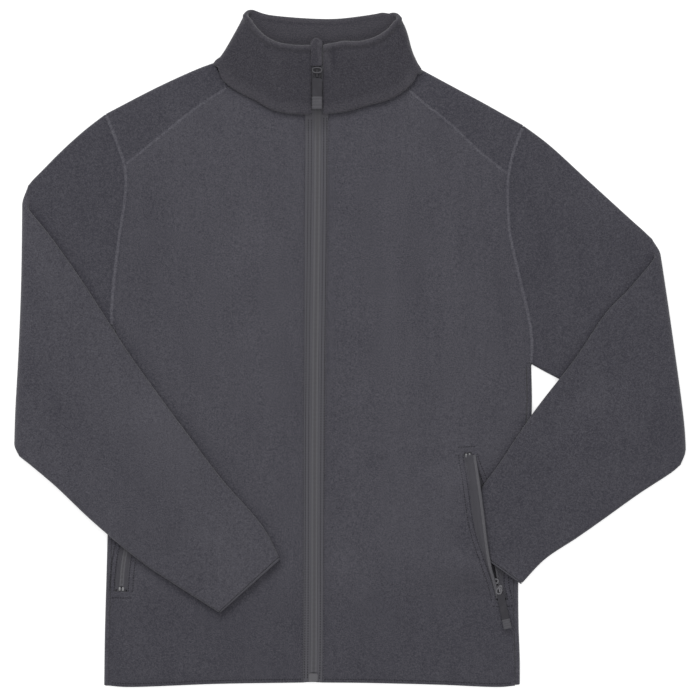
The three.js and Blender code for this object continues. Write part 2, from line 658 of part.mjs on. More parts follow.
const wasm = await Module();
wasm.setup();

// Several closed shapes joined into one
function fused(geometries) {
  const solids = geometries.map((geometry) => {
    const bare = geometry.clone();
    bare.deleteAttribute('normal');
    bare.deleteAttribute('uv');
    const merged = mergeVertices(bare);
    const vertProperties = new Float32Array(merged.attributes.position.array);
    const triVerts = new Uint32Array(merged.index.array);
    return new wasm.Manifold(new wasm.Mesh({ numProp: 3, vertProperties, triVerts }));
  });
  const mesh = solids.reduce((whole, solid) => whole.add(solid)).getMesh();
  const geometry = new THREE.BufferGeometry();
  geometry.setAttribute('position', new THREE.Float32BufferAttribute(mesh.vertProperties, 3));
  geometry.setIndex([...mesh.triVerts]);
  geometry.computeVertexNormals();
  return geometry;
}

const block = (x, y, z, at) => new THREE.BoxGeometry(x, y, z).translate(...at);

// Sizes of a slider and its pull about the middle of the chain. The pull turns on its own pin,
// which passes under the bridge.
function zipHardware(chain, size) {
  const gap = seam;
  const inside = chain.thick / 2 + gap;
  const plateTop = inside + size.plate;
  const pin = size.pin;
  const under = plateTop + 0.45;
  const axis = under + pin / 2;
  const bridgeLow = axis + pin / 2 + 0.45;
  return { inside, plateTop, axis, bridgeLow, wedge: 1.6, ...size };
}

function sliderShape(h) {
  const outline = tabOutline(-h.length / 2, h.length / 2, h.width * 0.85, h.width, 1.2);
  const span = h.bridgeSpan;
  const post = 1.4;
  return fused([
    plate(outline, h.inside, h.plateTop),
    plate(outline, -h.plateTop, -h.inside),
    block(1.6, h.wedge, 2 * h.plateTop - 0.2, [0, (h.length - h.wedge) / 2, 0]),
    block(h.bridge, post, h.bridgeLow + 1 - h.inside, [0, span / 2, (h.bridgeLow + 1 + h.inside) / 2]),
    block(h.bridge, post, h.bridgeLow + 1 - h.inside, [0, -span / 2, (h.bridgeLow + 1 + h.inside) / 2]),
    block(h.bridge, span + post, 1.1, [0, 0, h.bridgeLow + 0.55]),
  ]);
}

// A pull about its pin: a slotted ring, and a thicker tab that hangs from it
function pullShape(h) {
  const slotHalf = h.bridge / 2 + 0.5;
  const armHalf = slotHalf + 1.6;
  const slotLow = -h.bridgeSpan / 2 - 1.6;
  const ringLow = slotLow - 2;
  const ring = [[-armHalf, ringLow], [armHalf, ringLow], [armHalf, h.pin / 2], [-armHalf, h.pin / 2]];
  const slot = [[-slotHalf, slotLow], [-slotHalf, -h.pin / 2], [slotHalf, -h.pin / 2], [slotHalf, slotLow]];
  const tab = tabOutline(-h.pullLength, slotLow - 0.6, h.pullWidth * 0.9, h.pullWidth, 2);
  return fused([
    plate(ring, -h.pin / 2, h.pin / 2, slot),
    plate(tab, -h.pin / 2, h.pin / 2 + 0.8),
  ]);
}

// A slider with its pull, set on a zip at a point, turned with the zip and tilted with the cloth
function setHardware(names, hardware, at, { heading = 0, slope = 0, droop }) {
  const seat = new THREE.Group();
  seat.position.copy(at);
  seat.rotation.set(slope, 0, heading, 'ZXY');
  jacket.add(seat);
  const body = new THREE.Mesh(sliderShape(hardware), metalFinish);
  body.name = names.slider;
  seat.add(body);
  const pull = new THREE.Mesh(pullShape(hardware), rubberFinish);
  pull.name = names.pull;
  pull.position.z = hardware.axis;
  pull.rotation.x = droop;
  seat.add(pull);
}

// Panels
add('front_right', frontPanel('right', sides.right), fleeceFinish);
add('front_left', frontPanel('left', sides.left), fleeceFinish);
add('back', backPanel(sides.right, sides.left), fleeceFinish);
add('yoke_right', yoke(sides.right), fleeceFinish);
add('yoke_left', yoke(sides.left), fleeceFinish);
sleeve('right', sides.right);
sleeve('left', sides.left);
add('collar', collar(sides.right, sides.left), fleeceFinish);

// Centre zip
add('zip_tape_right', zipTape(sides.right), tapeFinish);
add('zip_tape_left', zipTape(sides.left), tapeFinish);
const sliderHeight = 311.5;
const retainerTop = -365.6;
const mainHardware = zipHardware(mainChain, {
  plate: 1.2, pin: 1.6, width: 11, length: 11, bridge: 2.4, bridgeSpan: 7, pullWidth: 11.5, pullLength: 40,
});
const chainTop = sliderHeight + mainHardware.length / 2 - mainHardware.wedge - 2 * seam;
const mainLine = stretch(zipLine, whereAt(zipLine, retainerTop), whereAt(zipLine, chainTop));
const mainRows = ordered([...spread(0, 0.88, 9), ...spread(0.88, 1, 5)]);
const onZip = (point) => zipMid(point.y);
add('zip_chain', coilRun(mainLine, mainRows, mainChain, onZip), chainFinish);
const retainer = fused([
  plate(tabOutline(-375.8, retainerTop - seam, 8.6, 8.6, 1), 4.6, 7.2),
  plate(tabOutline(-375.8, retainerTop - seam, 10.6, 10.6, 1.5), 7, 8.4),
]);
add('zip_retainer', retainer.translate(-41, 0, 0), rubberFinish);
const sliderSeat = zipLine(whereAt(zipLine, sliderHeight));
setHardware(
  { slider: 'zip_slider', pull: 'zip_pull' },
  mainHardware,
  raised(sliderSeat, zipMid(sliderHeight)),
  { slope: Math.atan(collarSlope), droop: -0.03 },
);

// Garage over the top of the zip: an arched tab that lies on the chain and reaches the rim
const garageLow = 318.5;
const garageTop = 350.5;
const garageEnds = { left: -43.5, right: -24.5 };
const garagePlan = patch(
  curve([[garageEnds.left, garageLow], [garageEnds.right, garageLow]]),
  curve([[garageEnds.left, 344], [-38, garageTop], [-30, 348.5], [garageEnds.right, 343]]),
  curve([[garageEnds.left, garageLow], [garageEnds.left, 344]]),
  curve([[garageEnds.right, garageLow], [garageEnds.right, 343]]),
);
const garageCloth = 1.4;
const garageRise = tape / 2 + seam + garageCloth / 2;
const garageSurface = (u, v) => {
  const point = garagePlan(u, v);
  return raised(point, zipMid(point.y) + garageRise);
};
add('zip_garage', wall({
  surface: garageSurface,
  across: spread(0, 1, 5),
  along: spread(0, 1, 4),
  thick: garageCloth,
}), trimFinish);

// Pocket bag: a thin sheet between the front and the back, behind the pocket's opening
function pocketBag(side) {
  const corners = side.bag.map(([x, y]) => new THREE.Vector2(x, y));
  const order = side.sign < 0 ? [3, 2, 0, 1] : [2, 3, 1, 0];
  const [lowNear, lowFar, highNear, highFar] = order.map((k) => corners[k]);
  const surface = (u, v) => {
    const low = lowNear.clone().lerp(lowFar, u);
    return raised(low.lerp(highNear.clone().lerp(highFar, u), v), bagMid);
  };
  return wall({ surface, across: [0, 1], along: spread(0, 1, 2), thick: bagCloth });
}

// Pocket zip: a tape on each edge of the opening, then its coil. The closed one's coils meet in a
// chain, the open one's stand apart down to the slider.
function pocketZip(name, side, open) {
  const { pocketFront, pocketSide } = frontLines(side);
  const steps = 2 * pocketSteps[name];
  const places = spread(1 / stationCount, 3 / stationCount, steps);
  const lip = { front: polyline(places.map(pocketFront)), side: polyline(places.map(pocketSide)) };
  const middle = (v) => lip.front(v).lerp(lip.side(v), 0.5);
  const run = pocketChain.halfWidth;
  const leastTape = 0.5;
  const opening = (v) => {
    const room = lip.front(v).distanceTo(lip.side(v)) / 2 - run - 2 * seam - leastTape;
    return open ? THREE.MathUtils.clamp(room, 0.2, 1.5) : 0;
  };
  const trim = 0.012;
  const rows = [trim, ...spread(0, 1, steps).slice(1, -1), 1 - trim];
  const coilRows = [...rows.slice(0, -1), 0.965];
  Object.entries(lip).forEach(([key, edge]) => {
    const height = (point) => {
      return pocketZipMid + (open && key === 'front' ? lipLift(point.x, point.y) : 0);
    };
    const away = (v, distance) => {
      const towards = middle(v).sub(edge(v));
      return edge(v).addScaledVector(towards.clone().normalize(), towards.length() - distance);
    };
    const tapeSurface = (u, v) => {
      const near = edge(v);
      const half = middle(v).distanceTo(near);
      const point = away(v, THREE.MathUtils.lerp(half - seam / 2, opening(v) + run + seam, u));
      return raised(point, height(near));
    };
    const strip = wall({ surface: tapeSurface, across: [0, 1], along: rows, thick: tape });
    add(`pocket_tape_${name}_${key}`, strip, tapeFinish);
    if (!open) return;
    const coilSurface = (u, v) => {
      return raised(away(v, opening(v) + run * (1 - u)), height(edge(v)));
    };
    const coil = wall({
      surface: coilSurface, across: [0, 1], along: coilRows, thick: pocketChain.thick,
    });
    add(`pocket_coil_${name}_${key}`, coil, chainFinish);
  });
  return { middle };
}

// Pocket sliders sit at the top of the closed zip and at the foot of the open one
const pocketHardware = zipHardware(pocketChain, {
  plate: 0.8, pin: 1.3, width: 8, length: 8.6, bridge: 1.9, bridgeSpan: 5.4, pullWidth: 8.8, pullLength: 45,
});
function pocketSlider(name, middle, at) {
  const seat = middle(at);
  const heading = middle(at + 0.02).sub(middle(at - 0.02));
  const names = { slider: `pocket_slider_${name}`, pull: `pocket_pull_${name}` };
  const place = { heading: Math.atan2(-heading.x, heading.y), droop: -0.04 };
  setHardware(names, pocketHardware, raised(seat, pocketZipMid), place);
}

add('pocket_bag_right', pocketBag(sides.right), innerFinish);
add('pocket_bag_left', pocketBag(sides.left), innerFinish);

const closedZip = pocketZip('right', sides.right, false);
const closedRun = { low: 0.03, high: 0.945 };
const closedLine = stretch(closedZip.middle, closedRun.low, closedRun.high);
add('pocket_chain_right', coilRun(closedLine, spread(0, 1, 9), pocketChain, () => pocketZipMid), chainFinish);
pocketSlider('right', closedZip.middle, 0.965);

const openZip = pocketZip('left', sides.left, true);
pocketSlider('left', openZip.middle, 0.075);

const box = new THREE.Box3().setFromObject(jacket);
jacket.position.set(-(box.min.x + box.max.x) / 2, -(box.min.y + box.max.y) / 2, -box.min.z);
jacket.updateMatrixWorld(true);

export default jacket;
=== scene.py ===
"""Fleece zip jacket laid flat on its back, its sleeves folded over at the elbow.

Shapes are worked out in millimetres in the model's own frame, with X to the viewer's right and Y
towards the collar, and are put into the meshes in metres. Right and left are the wearer's.
"""
import json

import bmesh
import bpy
import numpy as np
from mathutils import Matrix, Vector


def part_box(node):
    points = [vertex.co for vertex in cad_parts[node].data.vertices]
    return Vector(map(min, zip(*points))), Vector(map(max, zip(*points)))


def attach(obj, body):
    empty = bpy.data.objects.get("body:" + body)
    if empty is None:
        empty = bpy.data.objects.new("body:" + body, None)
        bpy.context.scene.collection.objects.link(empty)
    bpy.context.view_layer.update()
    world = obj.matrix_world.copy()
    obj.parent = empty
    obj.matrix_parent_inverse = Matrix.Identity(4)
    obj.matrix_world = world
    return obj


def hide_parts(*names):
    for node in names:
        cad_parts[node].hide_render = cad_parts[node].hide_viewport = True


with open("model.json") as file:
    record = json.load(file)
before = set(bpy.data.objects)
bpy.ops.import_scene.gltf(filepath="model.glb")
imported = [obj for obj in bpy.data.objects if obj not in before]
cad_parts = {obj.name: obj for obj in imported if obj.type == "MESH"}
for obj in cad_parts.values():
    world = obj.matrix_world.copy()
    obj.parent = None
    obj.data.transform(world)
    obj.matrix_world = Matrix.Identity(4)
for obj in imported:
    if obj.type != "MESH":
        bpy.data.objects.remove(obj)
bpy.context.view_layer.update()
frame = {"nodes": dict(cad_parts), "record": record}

MM = 0.001
# The plan tables are drawn about the photograph's middle; the model stands about its own
MODEL_SHIFT = np.array([-0.573, -0.695, 0.0])

# Cloth and zip sizes
FLEECE = 3.0
AIR = 1.6
SEAM = 0.3
COLLAR_CLOTH = 4.5
TAPE = 1.2
BAG_CLOTH = 1.0
BINDING_WIDTH = 3.4
SIDE_SEAM_INSET = 1.8
POCKET_LIFT = 11.4
SLEEVE_LIFT = 5.4
MAIN_CHAIN = {"half_width": 4.4, "thick": 3.0}
POCKET_CHAIN = {"half_width": 3.0, "thick": 2.0}

# Heights of the middle of each layer
BACK_MID = FLEECE / 2
FRONT_MID = FLEECE + AIR + FLEECE / 2
TURN_RADIUS = (FRONT_MID - BACK_MID) / 2
TURN_REACH = TURN_RADIUS + FLEECE / 2
TUBE_MID = (FRONT_MID + BACK_MID) / 2
FOLD_MID = 2 * TURN_REACH + SEAM / 2
FOLD_RADIUS = SEAM / 2 + TURN_REACH
FOLD_REACH = FOLD_RADIUS + TURN_REACH
FOLD_CORNER = 4.0
BAG_MID = FLEECE + SEAM + BAG_CLOTH / 2
POCKET_ZIP_MID = BAG_MID + BAG_CLOTH / 2 + 2.35
COLLAR_BACK_MID = COLLAR_CLOTH / 2
COLLAR_TURN = {"neck": 3.95, "rim": 7.0}
RIM_CLIMB = {"front": -2.0, "back": 9.0}

# Outlines and seams of each side, seen from above. Columns: x, y.
SIDES = {
    "right": {
        "sign": -1,
        "shoulder": [[-152.5, 324], [-169, 318], [-214.5, 297.5], [-275.5, 266]],
        "sleeve_top": [[-275.5, 266], [-298, 247.5], [-322.5, 224], [-342.5, 202.5], [-358.1, 186]],
        "fold_edge": [[-369.5, 190], [-370, 120], [-371, 68], [-374, -7.5], [-377.5, -71], [-378.5, -104],
                      [-379, -126]],
        "fold_under": (186, -107),
        "fold_over": (157, -121.5),
        "underarm": [[-268.5, 26.5], [-322.5, -42.5], [-367.1, -107]],
        "outer": [[-367.6, -121.5], [-351.5, -134], [-325.5, -156.5], [-288.5, -192.5], [-231, -241.5],
                  [-193.5, -267], [-146, -297.5]],
        "inner": [[-358.2, 157], [-342.5, 137], [-301, 78], [-248, -4.5], [-184.5, -92], [-143, -147],
                  [-98, -199.5], [-78, -237]],
        "cuff": [[-78, -237], [-146, -297.5]],
        "armhole": [[-275.5, 266], [-267, 245.5], [-260, 226], [-254, 207.5], [-252.5, 193.5],
                    [-253.5, 171], [-261.5, 115.5], [-268, 55.5], [-268.5, 26.5]],
        "armhole_join": 207.5,
        "yoke_seam": [[-135, 297.5], [-174.5, 271.5], [-216, 238.5], [-254, 207.5]],
        "yoke_back_seam": [[-128, 307], [-174.5, 271.5], [-216, 238.5], [-254, 207.5]],
        "side": [[-277.3, -380], [-276.5, -320.5], [-273.5, -208], [-272, -91], [-269.7, 25]],
        "neck": [[-49.5, 268.5], [-59.5, 268.5], [-86, 273.5], [-106.5, 285], [-123.5, 293.5],
                 [-135, 297.5]],
        "neck_side": [[-135, 297.5], [-140.5, 306.5], [-149.5, 314], [-153, 320]],
        "hem": [[-52, -376.5], [-148.5, -378], [-252.5, -381.5], [-272, -380]],
        "centre": [[-52, -376.5], [-51, -60], [-49.5, 268.5]],
        "collar_centre": [[-49.5, 268.5], [-45.5, 343]],
        "collar_side": [[-151, 325.5], [-144.5, 332.5], [-126.5, 363], [-118.5, 379]],
        "rim": [[-45.5, 343], [-65, 343.5], [-82.5, 347], [-96, 354.5], [-106, 365], [-110.5, 374]],
        "pocket_front": [[-256, -381.5], [-251.5, -275], [-246, -226.5], [-223.5, -159],
                         [-209.5, -115], [-200, 0], [-203, 120], [-211, 242]],
        "pocket_side": [[-266, -381], [-264.5, -275], [-259, -226.5], [-236.5, -159],
                        [-222.5, -115], [-206, 0], [-209, 120], [-217, 237.5]],
        "pocket": (-274, -115),
        "bag": [[-200, -105], [-90, -100], [-90, -335], [-262, -335]],
    },
    "left": {
        "sign": 1,
        "shoulder": [[80.5, 316.5], [126, 292], [147.5, 280.5], [196.5, 253]],
        "sleeve_top": [[196.5, 253], [223, 232.5], [264.5, 193.5], [321, 140.5], [337, 126.5]],
        "fold_edge": [[347.5, 130], [353.5, 92], [359, 55.5], [367.5, -4], [375.5, -63], [379.5, -101],
                      [380, -136]],
        "fold_under": (125.5, -108),
        "fold_over": (103, -131),
        "underarm": [[205, -16.5], [235.5, -33], [305.5, -66.5], [368.2, -108]],
        "outer": [[368.6, -131], [361, -137.5], [321, -164.5], [283, -192.5], [254.5, -213],
                  [219.5, -237], [193.5, -265]],
        "inner": [[340.4, 103], [337, 97.5], [313.5, 69], [289.5, 44], [255, -7.5], [206.5, -71],
                  [166.5, -131.5], [148.5, -156.5], [123.5, -215.5]],
        "cuff": [[123.5, -215.5], [193.5, -265]],
        "armhole": [[196.5, 253], [187, 228.5], [179.5, 197], [178.5, 171], [181, 131.5], [194, 72.5],
                    [202, 37.5], [206, 8], [205, -16.5]],
        "armhole_join": 197,
        "yoke_seam": [[64, 296], [79.5, 281.5], [114, 254.5], [143.5, 226], [179.5, 197]],
        "yoke_back_seam": [[55, 304], [118, 249], [179.5, 197]],
        "side": [[192.5, -379], [192.5, -351], [191, -304.5], [191.5, -238], [199.5, -147.5],
                 [206, -71], [205.5, -18]],
        "neck": [[-24.5, 268], [-2.5, 272], [21, 279], [39.5, 283.5], [57, 292.5], [64, 296]],
        "neck_side": [[64, 296], [70.5, 305], [80.5, 315.5]],
        "hem": [[-31, -376.5], [23, -377], [102, -379], [170, -381.5], [187, -380]],
        "centre": [[-31, -376.5], [-28, -60], [-24.5, 268]],
        "collar_centre": [[-24.5, 268], [-23.5, 342.5]],
        "collar_side": [[80.5, 316.5], [71.5, 335.5], [64.5, 360], [57.5, 375.5]],
        "rim": [[-23.5, 342.5], [-8, 347.5], [10.5, 347.5], [28, 352], [43, 361.5], [50, 371]],
        "pocket_front": [[163, -381], [166.5, -283], [163, -266], [152.5, -235.5], [141.5, -200.5],
                         [133.5, -145.5], [129.5, -117], [131, 0], [137, 120], [146, 223.5]],
        "pocket_side": [[175, -381], [177, -283], [173.5, -267], [173, -245], [171, -222],
                        [165, -200], [147.5, -145.5], [137.5, -117], [137, 0], [143, 120], [152, 217.5]],
        "pocket": (-283, -117),
        "bag": [[140, -100], [20, -95], [20, -335], [182, -335]],
    },
}
RIGHT = SIDES["right"]
LEFT = SIDES["left"]
BACK_NECK = [[-128, 307], [-78.5, 299.5], [-35.5, 297.5], [7.5, 298.5], [55, 304]]
BACK_RIM = [[-107.3, 380.8], [-99, 378], [-91, 376.3], [-48, 373], [-13, 373], [30, 378.8], [38, 380.4],
            [46.2, 379.5]]
ZIP_ROWS = [[-41, -376], [-40.5, -367], [-39, -57], [-36, 247.5], [-36.5, 315], [-36, 343]]
# The hidden pocket slider and pull that the right forearm lies on
HIDDEN_ZIP = np.array([[-232.0, -165.0], [-216.0, -120.0]])


# Plan lines

class Line:
    """A plan line held as many points, each with its place from 0 to 1 along the way."""

    def __init__(self, points, places=None):
        self.points = np.asarray(points, float)
        if places is None:
            steps = np.linalg.norm(np.diff(self.points, axis=0), axis=1)
            places = np.concatenate([[0], np.cumsum(steps)]) / steps.sum()
        self.places = np.asarray(places, float)

    def __call__(self, t):
        return np.stack([np.interp(t, self.places, self.points[:, k]) for k in (0, 1)], -1)

    def length(self):
        return np.linalg.norm(np.diff(self.points, axis=0), axis=1).sum()

    def where(self, value, axis=1):
        """The place at which a rising or falling coordinate reaches a value."""
        along = self.points[:, axis]
        order = np.argsort(along)
        return np.interp(value, along[order], self.places[order])


EVEN = np.linspace(0, 1, 401)


def curve(rows, samples=40):
    """A centripetal Catmull-Rom curve through the rows of a table, with places by length."""
    rows = np.asarray(rows, float)
    padded = np.vstack([2 * rows[0] - rows[1], rows, 2 * rows[-1] - rows[-2]])
    p0, p1, p2, p3 = (padded[k:len(padded) - 3 + k, None] for k in range(4))
    step = [np.sqrt(np.linalg.norm(b - a, axis=-1, keepdims=True)) for a, b in
            ((p0, p1), (p1, p2), (p2, p3))]
    leave = (p1 - p0) / step[0] - (p2 - p0) / (step[0] + step[1]) + (p2 - p1) / step[1]
    reach = (p2 - p1) / step[1] - (p3 - p1) / (step[1] + step[2]) + (p3 - p2) / step[2]
    leave = leave * step[1]
    reach = reach * step[1]
    t = np.linspace(0, 1, samples, endpoint=False)[None, :, None]
    cubic = 2 * p1 - 2 * p2 + leave + reach
    square = 3 * p2 - 3 * p1 - 2 * leave - reach
    points = p1 + leave * t + square * t ** 2 + cubic * t ** 3
    return Line(np.vstack([points.reshape(-1, 2), rows[-1]]))


def part(line, start, end):
    return Line(line(start + (end - start) * EVEN), EVEN)


def back(line):
    return Line(line(1 - EVEN), EVEN)


def beside(line, distance):
    """The line moved to its left, by a distance or by a function of the place along it."""
    ahead = line(np.minimum(EVEN + 0.003, 1)) - line(np.maximum(EVEN - 0.003, 0))
    ahead = ahead / np.linalg.norm(ahead, axis=1, keepdims=True)
    reach = distance(EVEN) if callable(distance) else np.full(len(EVEN), float(distance))
    return Line(line(EVEN) + np.stack([-ahead[:, 1], ahead[:, 0]], -1) * reach[:, None], EVEN)


def pinned(line, start, end):
    """The line sheared so that it starts and ends at the given points."""
    t = EVEN[:, None]
    points = line(EVEN)
    return Line(points + (start - points[0]) * (1 - t) + (end - points[-1]) * t, EVEN)


def chained(lines, shares):
    """Lines end to end; shares holds where each one after the first begins."""
    starts = [0, *shares, 1]
    points = [line(EVEN) for line in lines]
    places = [starts[k] + (starts[k + 1] - starts[k]) * EVEN for k in range(len(lines))]
    return Line(np.vstack(points), np.concatenate(places))


def timed(line, heights, places):
    """The line re-timed to pass the given heights at the given places."""
    at = [line.where(y) for y in heights]
    at[0] = 0.0
    return Line(line.points, np.interp(line.places, [*at, 1.0], [*places, 1.0]))


def patch(near, far, first, last):
    """A Coons patch: the mean of two ruled surfaces less the flat one between the corners.
    near and far run along u at v = 0 and 1; first and last run along v at u = 0 and 1."""
    first = pinned(first, near(0), far(0))
    last = pinned(last, near(1), far(1))
    corners = [near(0), near(1), far(0), far(1)]

    def surface(u, v):
        u, v = np.broadcast_arrays(u, v)
        a = u[..., None]
        b = v[..., None]
        ruled = near(u) * (1 - b) + far(u) * b + first(v) * (1 - a) + last(v) * a
        flat = (corners[0] * (1 - a) + corners[1] * a) * (1 - b)
        flat = flat + (corners[2] * (1 - a) + corners[3] * a) * b
        return ruled - flat
    return surface


def smooth(x, start, end):
    t = np.clip((x - start) / (end - start), 0, 1)
    return t * t * (3 - 2 * t)


def mix(a, b, share):
    return a + (b - a) * share


def raised(points, height):
    height = np.broadcast_to(height, points.shape[:-1])
    return np.concatenate([points, height[..., None]], -1)


def steps(length, size, fine=(0.0, 0.3, 0.8, 1.5), ends=(True, True)):
    """Places from 0 to 1 about size apart, closer together near the ends that are free edges."""
    near = [d / length for d in fine] if ends[0] else [0.0]
    far = [1 - d / length for d in fine] if ends[1] else [1.0]
    count = max(2, int(round(length / size)))
    inner = [k / count for k in range(1, count)]
    keep = [t for t in inner if near[-1] + 0.4 * size / length < t < far[-1] - 0.4 * size / length]
    return np.array(sorted([*near, *keep, *far]))


# Meshes

def mesh_piece(name, points, faces, body="jacket"):
    """A piece from points in the tables' millimetres and faces, welded and smooth."""
    mesh = bpy.data.meshes.new(name)
    mesh.from_pydata(((points + MODEL_SHIFT) * MM).tolist(), [], faces.tolist())
    mesh.update()
    work = bmesh.new()
    work.from_mesh(mesh)
    bmesh.ops.remove_doubles(work, verts=work.verts, dist=1e-6)
    bmesh.ops.dissolve_degenerate(work, edges=work.edges, dist=1e-7)
    work.to_mesh(mesh)
    work.free()
    mesh.shade_smooth()
    piece = bpy.data.objects.new(name, mesh)
    bpy.context.scene.collection.objects.link(piece)
    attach(piece, body)
    return piece


def unit(vectors):
    return vectors / np.maximum(np.linalg.norm(vectors, axis=-1, keepdims=True), 1e-9)


def nearest(points, others):
    """Distance from each point to the nearest of the others, a thousand points at a time."""
    found = [np.sqrt(((block[:, None] - others[None]) ** 2).sum(-1).min(1))
             for block in np.array_split(points, max(1, len(points) // 1000))]
    return np.concatenate(found)


def grid_faces(columns, rows, present, around):
    """Quads of a grid of points, the columns joined round where the piece is a tube."""
    i, j = np.nonzero(present)
    ahead = (i + 1) % columns if around else i + 1
    return np.stack([i * rows + j, ahead * rows + j, ahead * rows + j + 1, i * rows + j + 1], -1)


def cloth(name, middle, thick, around=False, missing=None, relief=None, flip=False, edge_radius=1.0):
    """A thin shell: the middle surface moved half the cloth's thickness to each side along its own
    normal, the two sides meeting in a half-round along every free edge. relief is added to the
    outer side."""
    columns, rows = middle.shape[:2]
    if around:
        wide = np.concatenate([middle[-1:], middle, middle[:1]])
        over_u = (wide[2:] - wide[:-2])
    else:
        over_u = np.gradient(middle, axis=0)
    over_v = np.gradient(middle, axis=1)
    normal = unit(np.cross(over_u, over_v)) * (-1 if flip else 1)
    cells = (columns if around else columns - 1, rows - 1)
    present = np.ones(cells, bool) if missing is None else ~missing
    count = np.zeros((columns, rows), int)
    for a in (0, 1):
        for b in (0, 1):
            i, j = np.nonzero(present)
            np.add.at(count, ((i + a) % columns, j + b), 1)
    edge = (count > 0) & (count < 4)
    band = edge.copy()
    for _ in range(5):
        grown = band.copy()
        grown[:, 1:] |= band[:, :-1]
        grown[:, :-1] |= band[:, 1:]
        grown[1:] |= band[:-1]
        grown[:-1] |= band[1:]
        band = grown
    depth = np.full((columns, rows), 1e3)
    depth[band] = nearest(middle[band], middle[edge])
    depth[edge] = 0
    half = (thick / 2) * np.ones((columns, rows))
    inset = np.clip(1 - depth / np.minimum(edge_radius, half), 0, 1)
    half = half * np.sqrt(1 - inset ** 2)
    lift = relief(middle, normal) if callable(relief) else relief
    lift = 0 if relief is None else lift * (half / (thick / 2))
    outer = middle + normal * (half + lift)[..., None]
    inner = middle - normal * half[..., None]
    faces = grid_faces(columns, rows, present, around)
    points = np.concatenate([outer.reshape(-1, 3), inner.reshape(-1, 3)])
    both = [faces[:, ::-1], faces + columns * rows] if flip else [faces, faces[:, ::-1] + columns * rows]
    return mesh_piece(name, points, np.concatenate(both))


def tube(points, radius, sides=6):
    """Rings of points round a path of N points, each radius away in the plane square to it."""
    along = unit(np.gradient(points, axis=0))
    across = unit(np.cross(along, [0.0, 0.0, 1.0]))
    up = np.cross(across, along)
    angle = np.linspace(0, 2 * np.pi, sides, endpoint=False)
    ring = across[:, None] * np.cos(angle)[None, :, None] + up[:, None] * np.sin(angle)[None, :, None]
    return points[:, None] + ring * np.reshape(radius, (-1, 1, 1))


def threads(name, path, pitch=2.9, stitch=2.1, radius=0.48, sunk=0.1):
    """A row of stitches: along the path, one short arch of thread in each pitch, its ends sunk in
    the cloth, all in one mesh."""
    steps_along = np.linalg.norm(np.diff(path, axis=0), axis=1)
    run = np.concatenate([[0], np.cumsum(steps_along)])
    count = max(1, int(run[-1] / pitch))
    share = np.linspace(0, 1, 5)
    at = (np.arange(count)[:, None] + 0.5) * pitch + (share[None] - 0.5) * stitch
    spots = np.stack([np.interp(at, run, path[:, k]) for k in range(3)], -1)
    spots[..., 2] += (radius * 1.1 - sunk) * np.sin(np.pi * share) - radius * 0.9 * (1 - np.sin(np.pi * share))
    ahead = unit(spots[:, -1:] - spots[:, :1])
    across = unit(np.cross(ahead, [0.0, 0.0, 1.0]))
    up = np.cross(across, ahead)
    angle = np.linspace(0, 2 * np.pi, 5, endpoint=False)
    size = radius * np.array([0.3, 0.9, 1.0, 0.9, 0.3])[None, :, None, None]
    ring = across[:, :, None] * np.cos(angle)[:, None] + up[:, :, None] * np.sin(angle)[:, None]
    points = spots[:, :, None] + ring * size
    rings, sides = size.shape[1], len(angle)
    block = rings * sides
    i, j = np.indices((rings - 1, sides)).reshape(2, -1)
    ahead_j = (j + 1) % sides
    wall = np.stack([i * sides + j, i * sides + ahead_j, (i + 1) * sides + ahead_j, (i + 1) * sides + j], -1)
    starts = block * np.arange(count)[:, None]
    walls = (wall[None] + starts[..., None]).reshape(-1, 4)
    near_cap = starts + np.arange(sides)[None, ::-1]
    far_cap = starts + block - sides + np.arange(sides)[None]
    mesh_faces = [*walls.tolist(), *near_cap.tolist(), *far_cap.tolist()]
    mesh = bpy.data.meshes.new(name)
    mesh.from_pydata(((points.reshape(-1, 3) + MODEL_SHIFT) * MM).tolist(), [], mesh_faces)
    mesh.shade_smooth()
    piece = bpy.data.objects.new(name, mesh)
    bpy.context.scene.collection.objects.link(piece)
    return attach(piece, "jacket")


# Surfaces of the cut pieces

def lip_lift(x, y):
    """How far the cuff tucked under it carries the open pocket's front lip."""
    along = smooth(y, -284, -240) * (1 - smooth(y, -154, -124))
    return POCKET_LIFT * along * smooth(x, 30, 118)


def sleeve_bulge(side, points):
    """How far the tucked pocket slider and pull raise the forearm that lies on them."""
    if side["sign"] > 0:
        return np.zeros(points.shape[:-1])
    span = HIDDEN_ZIP[1] - HIDDEN_ZIP[0]
    share = np.clip((points - HIDDEN_ZIP[0]) @ span / (span @ span), 0, 1)
    away = np.linalg.norm(points - HIDDEN_ZIP[0] - share[..., None] * span, axis=-1)
    return SLEEVE_LIFT * (1 - smooth(away, 30, 78))


def side_edge(side, moved):
    """The panel edge up the side seam, moved in towards the body, and on up the armhole."""
    low = curve(side["side"])
    up = back(curve(side["armhole"]))
    inset = TURN_REACH / up.length()
    join = up.where(side["armhole_join"])
    low_moved = Line(low.points - [side["sign"] * moved, 0.0])
    return chained([low_moved, part(up, inset, join)], [UNDERARM_PLACE])


# Places up a panel of its hem, the pocket's ends and the underarm
UNDERARM_PLACE = 0.62
POCKET_PLACES = (0.165, 0.405)
NECK_SHARE = 0.42


